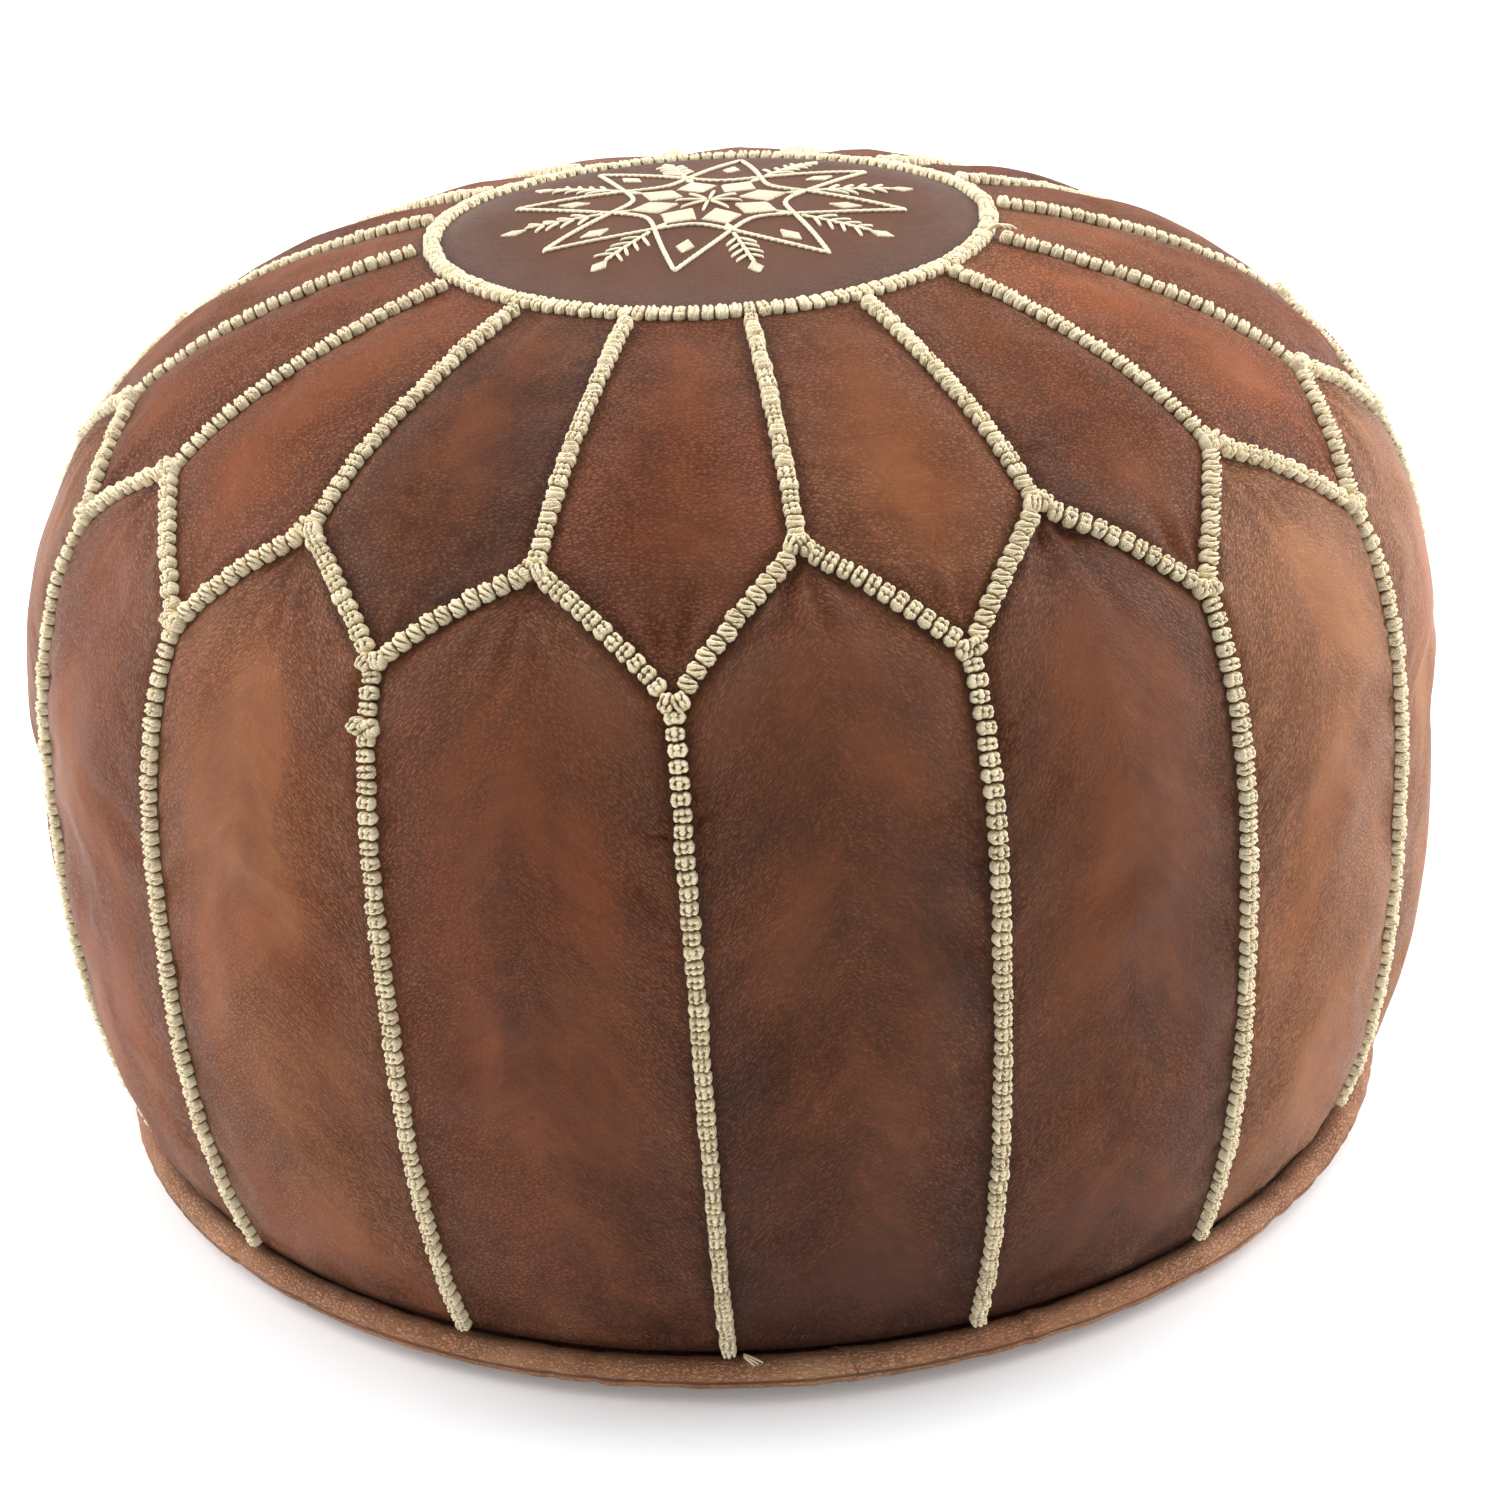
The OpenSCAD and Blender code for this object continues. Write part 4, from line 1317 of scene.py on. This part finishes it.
def thread_material(name, pale, deep, strand=0.62):
    """Silk thread: fine strands that slant over each knot, with painted shade in the gaps between strands and
    in the hollows, so it is pale on top and deeper in the hollows.
    """
    material, n, shader = new_material(name)
    where = n.attribute("strand", "Vector")
    parts = n.split(where)
    sway = n.noise(where, (0.55, 0.55, 0.55), detail=2.0)
    run = n.total((parts["X"], 1.0), (parts["Y"], 0.55), (sway, 2.2))
    wave = n.math("SINE", n.times(run, 2 * math.pi / strand))
    ply = n.math("POWER", n.times(n.math("ADD", wave, 1.0), 0.5), 0.6)
    mottle = n.noise(where, (0.9, 0.9, 0.9))
    # The colour is darker between the strands: partly the thread's own stripes, partly painted shade in the
    # gaps.
    value = n.total((ply, 0.42), (mottle, 0.35), (n.attribute("tone"), 0.14))
    # Painted shade: ambient occlusion darkens the colour in the hollows between and under the knots.
    hollow_shade = n.add("ShaderNodeAmbientOcclusion", samples=8, only_local=True)
    hollow_shade.inputs["Distance"].default_value = 1.3 * MM
    value = n.times(value, n.remap(hollow_shade.outputs["AO"], 0.45, 0.92, 0.25, 1.0))
    n.link(n.mix(n.remap(value, 0.15, 0.52), rgb(deep), rgb(pale)), shader.inputs["Base Color"])
    n.link(n.bump(ply, 0.55, 0.14 * MM), shader.inputs["Normal"])
    for key, value in {"Roughness": 0.4, "Sheen Weight": 0.15, "Sheen Roughness": 0.4}.items():
        shader.inputs[key].default_value = value
    return material


def woven_material(name, warp_colour, gap_colour):
    """Tape with a herringbone weave, 0.9 mm from rib to rib."""
    material, n, shader = new_material(name)
    spot = n.position()
    parts = n.split(spot)
    run = n.math("ADD", parts["X"], n.math("PINGPONG", parts["Y"], 2.4 * MM))
    rib, cross = (
        n.times(n.math("ADD", n.math("SINE", n.times(way, 2 * math.pi / pitch)), 1.0), 0.5)
        for way, pitch in ((run, 0.9 * MM), (parts["Y"], 0.6 * MM))
    )
    weave = n.times(rib, n.math("ADD", n.times(cross, 0.4), 0.6))
    n.link(n.mix(weave, rgb(gap_colour), rgb(warp_colour)), shader.inputs["Base Color"])
    n.link(n.bump(weave, 0.6, 0.15 * MM), shader.inputs["Normal"])
    n.link(n.remap(n.noise(spot, (300, 300, 300)), 0.3, 0.7, 0.7, 0.9), shader.inputs["Roughness"])
    return material


def plain_material(name, colour, roughness, metallic=0.0, mottle=0.15, scale=400):
    """Small hidden or metal parts, and the floor: one colour with light wear."""
    material, n, shader = new_material(name)
    value = n.noise(n.position(), (scale, scale, scale), detail=4.0, rough=0.6)
    wear = n.remap(value, 0.3, 0.7)
    n.link(n.mix(wear, rgb(colour, 1 - 2 * mottle), rgb(colour)), shader.inputs["Base Color"])
    n.link(n.remap(value, 0.3, 0.7, roughness - 0.08, roughness + 0.1), shader.inputs["Roughness"])
    n.link(n.bump(value, 0.15, 0.1 * MM), shader.inputs["Normal"])
    shader.inputs["Metallic"].default_value = metallic
    return material


# ---- camera, light and floor ----

def build_camera():
    distance, rise, tilt = 1.33, math.radians(25.5), math.radians(-3.0)
    target = Vector((0, 0, 0.13))
    spot = target + Vector((0, -distance * math.cos(rise), distance * math.sin(rise)))
    forward = (target - spot).normalized()
    level = forward.cross(Vector((0, 0, 1))).normalized()
    up = level.cross(forward)
    right = level * math.cos(tilt) + up * math.sin(tilt)
    top = right.cross(forward)
    data = bpy.data.cameras.new("camera")
    data.sensor_width = 36
    data.lens = 81.6
    data.shift_x = 0.0083
    camera = bpy.data.objects.new("camera", data)
    camera.matrix_world = Matrix.Translation(spot) @ Matrix((right, top, -forward)).transposed().to_4x4()
    bpy.context.scene.collection.objects.link(camera)
    bpy.context.scene.camera = camera


def area_light(name, spot, target, size, power):
    data = bpy.data.lights.new(name, "AREA")
    data.shape = "RECTANGLE"
    data.size, data.size_y = size
    data.energy = power
    light = bpy.data.objects.new(name, data)
    aim = (Vector(target) - Vector(spot)).to_track_quat("-Z", "Y")
    light.matrix_world = Matrix.Translation(spot) @ aim.to_matrix().to_4x4()
    bpy.context.scene.collection.objects.link(light)


def build_studio():
    world = bpy.data.worlds.new("world")
    world.use_nodes = True
    background = world.node_tree.nodes["Background"]
    background.inputs["Color"].default_value = rgb((0.95, 0.975, 1.0))
    n = Nodes(world.node_tree)
    facing = n.split(n.add("ShaderNodeTexCoord").outputs["Generated"])
    n.link(n.remap(facing["Y"], -0.75, 0.25, 0.50, 1.0), background.inputs["Strength"])
    bpy.context.scene.world = world
    area_light("left_window", (-1.7, 0.25, 1.1), (0, 0, 0.15), (1.5, 1.5), 34)
    area_light("right_window", (1.75, 0.35, 1.0), (0, 0, 0.15), (1.5, 1.5), 40)
    area_light("overhead", (0.1, 0.35, 2.1), (0, 0, 0.2), (1.8, 1.4), 24)
    floor_mesh = bpy.data.meshes.new("floor")
    reach = 40
    corners = [(-reach, -reach, 0), (reach, -reach, 0), (reach, reach, 0), (-reach, reach, 0)]
    floor_mesh.from_pydata(corners, [], [(0, 1, 2, 3)])
    floor = bpy.data.objects.new("floor", floor_mesh)
    bpy.context.scene.collection.objects.link(floor)
    floor_mesh.materials.append(plain_material("floor", (0.93, 0.93, 0.935), 0.7, mottle=0.004, scale=3))
    floor_shader = floor_mesh.materials[0].node_tree.nodes["Principled BSDF"]
    floor_shader.inputs["Emission Color"].default_value = rgb((1, 1, 1))
    floor_shader.inputs["Emission Strength"].default_value = 0.15
    bpy.context.scene.view_settings.view_transform = "Standard"


# ---- the pouf ----

build_camera()
build_studio()

BROWN = ((0.068, 0.0200, 0.0085), (0.180, 0.056, 0.0195), (0.38, 0.155, 0.062))
RED = ((0.076, 0.0180, 0.0075), (0.208, 0.055, 0.0185), (0.38, 0.125, 0.046))
MAUVE = ((0.063, 0.0215, 0.0100), (0.100, 0.037, 0.0180), (0.155, 0.064, 0.034))
petal_leather = leather_material("petal_leather", BROWN, RED, gloss=0.09)
panel_leather = leather_material("panel_leather", BROWN, RED)
medallion_skin = leather_material("medallion_leather", MAUVE, MAUVE, roughness=0.5, grain=0.35, gloss=0.20)
braid_thread = thread_material("braid_thread", (0.92, 0.80, 0.53), (0.32, 0.215, 0.10))

petal_grids = [petal_grid(k) for k in range(PANELS)]
panel_grids = [panel_grid(k) for k in range(PANELS)]
swells = stuffed(petal_grids + panel_grids)
for k in range(PANELS):
    build_petal(k, petal_grids[k], swells[k], petal_leather)
    build_panel(k, panel_grids[k], swells[PANELS + k], panel_leather)
build_medallion(medallion_skin)
build_braids(braid_thread)
build_ring_braid(braid_thread)
build_junction_knots(braid_thread)
build_thread_tails(braid_thread)
embroidery = thread_material("embroidery_thread", (0.84, 0.74, 0.53), (0.40, 0.29, 0.155), 0.5)
build_star(embroidery)
build_ferns(embroidery)
build_rosette(embroidery)

TAN = ((0.30, 0.120, 0.058), (0.46, 0.205, 0.100), (0.62, 0.35, 0.19))
piping_leather = leather_material("piping_leather", TAN, TAN, roughness=0.5, grain=0.9)
build_piping("piping_right", "piping_cover_right", PIPING_JOINT, PIPING_JOINT + 180, 2.2, piping_leather)
build_piping("piping_left", "piping_cover_left", PIPING_JOINT + 180, PIPING_JOINT + 360, 2.2, piping_leather)
base_leather = leather_material("base_leather", BROWN, TAN, roughness=0.55, grain=1.0)
build_base("base_leather_front", "base_panel_front", -1, base_leather)
build_base("base_leather_rear", "base_panel_rear", 1, base_leather)

plain = {
    "piping_core": plain_material("piping_core", (0.6, 0.53, 0.42), 0.8),
    "zip_tape": woven_material("zip_tape", (0.060, 0.035, 0.024), (0.028, 0.016, 0.012)),
    "zip_coil": plain_material("zip_coil", (0.070, 0.045, 0.032), 0.35),
    "zip_metal": plain_material("zip_metal", (0.56, 0.40, 0.17), 0.34, metallic=1.0, mottle=0.2, scale=900),
    "sewing_thread": plain_material("sewing_thread", (0.5, 0.36, 0.2), 0.7, mottle=0.25, scale=3000),
    "stuffing": plain_material("stuffing", (0.7, 0.67, 0.6), 0.9),
}
build_coil("coil_front", "zip_coil_front", -1, plain["zip_coil"])
build_coil("coil_rear", "zip_coil_rear", 1, plain["zip_coil"])
build_stuffing(plain["stuffing"])
slots = {row["node"]: row["material_slot"] for row in frame["record"]["subparts"]}
for name, obj in frame["nodes"].items():
    if slots.get(name) in plain and not obj.hide_render:
        for i in range(len(obj.material_slots)):
            obj.material_slots[i].material = plain[slots[name]]
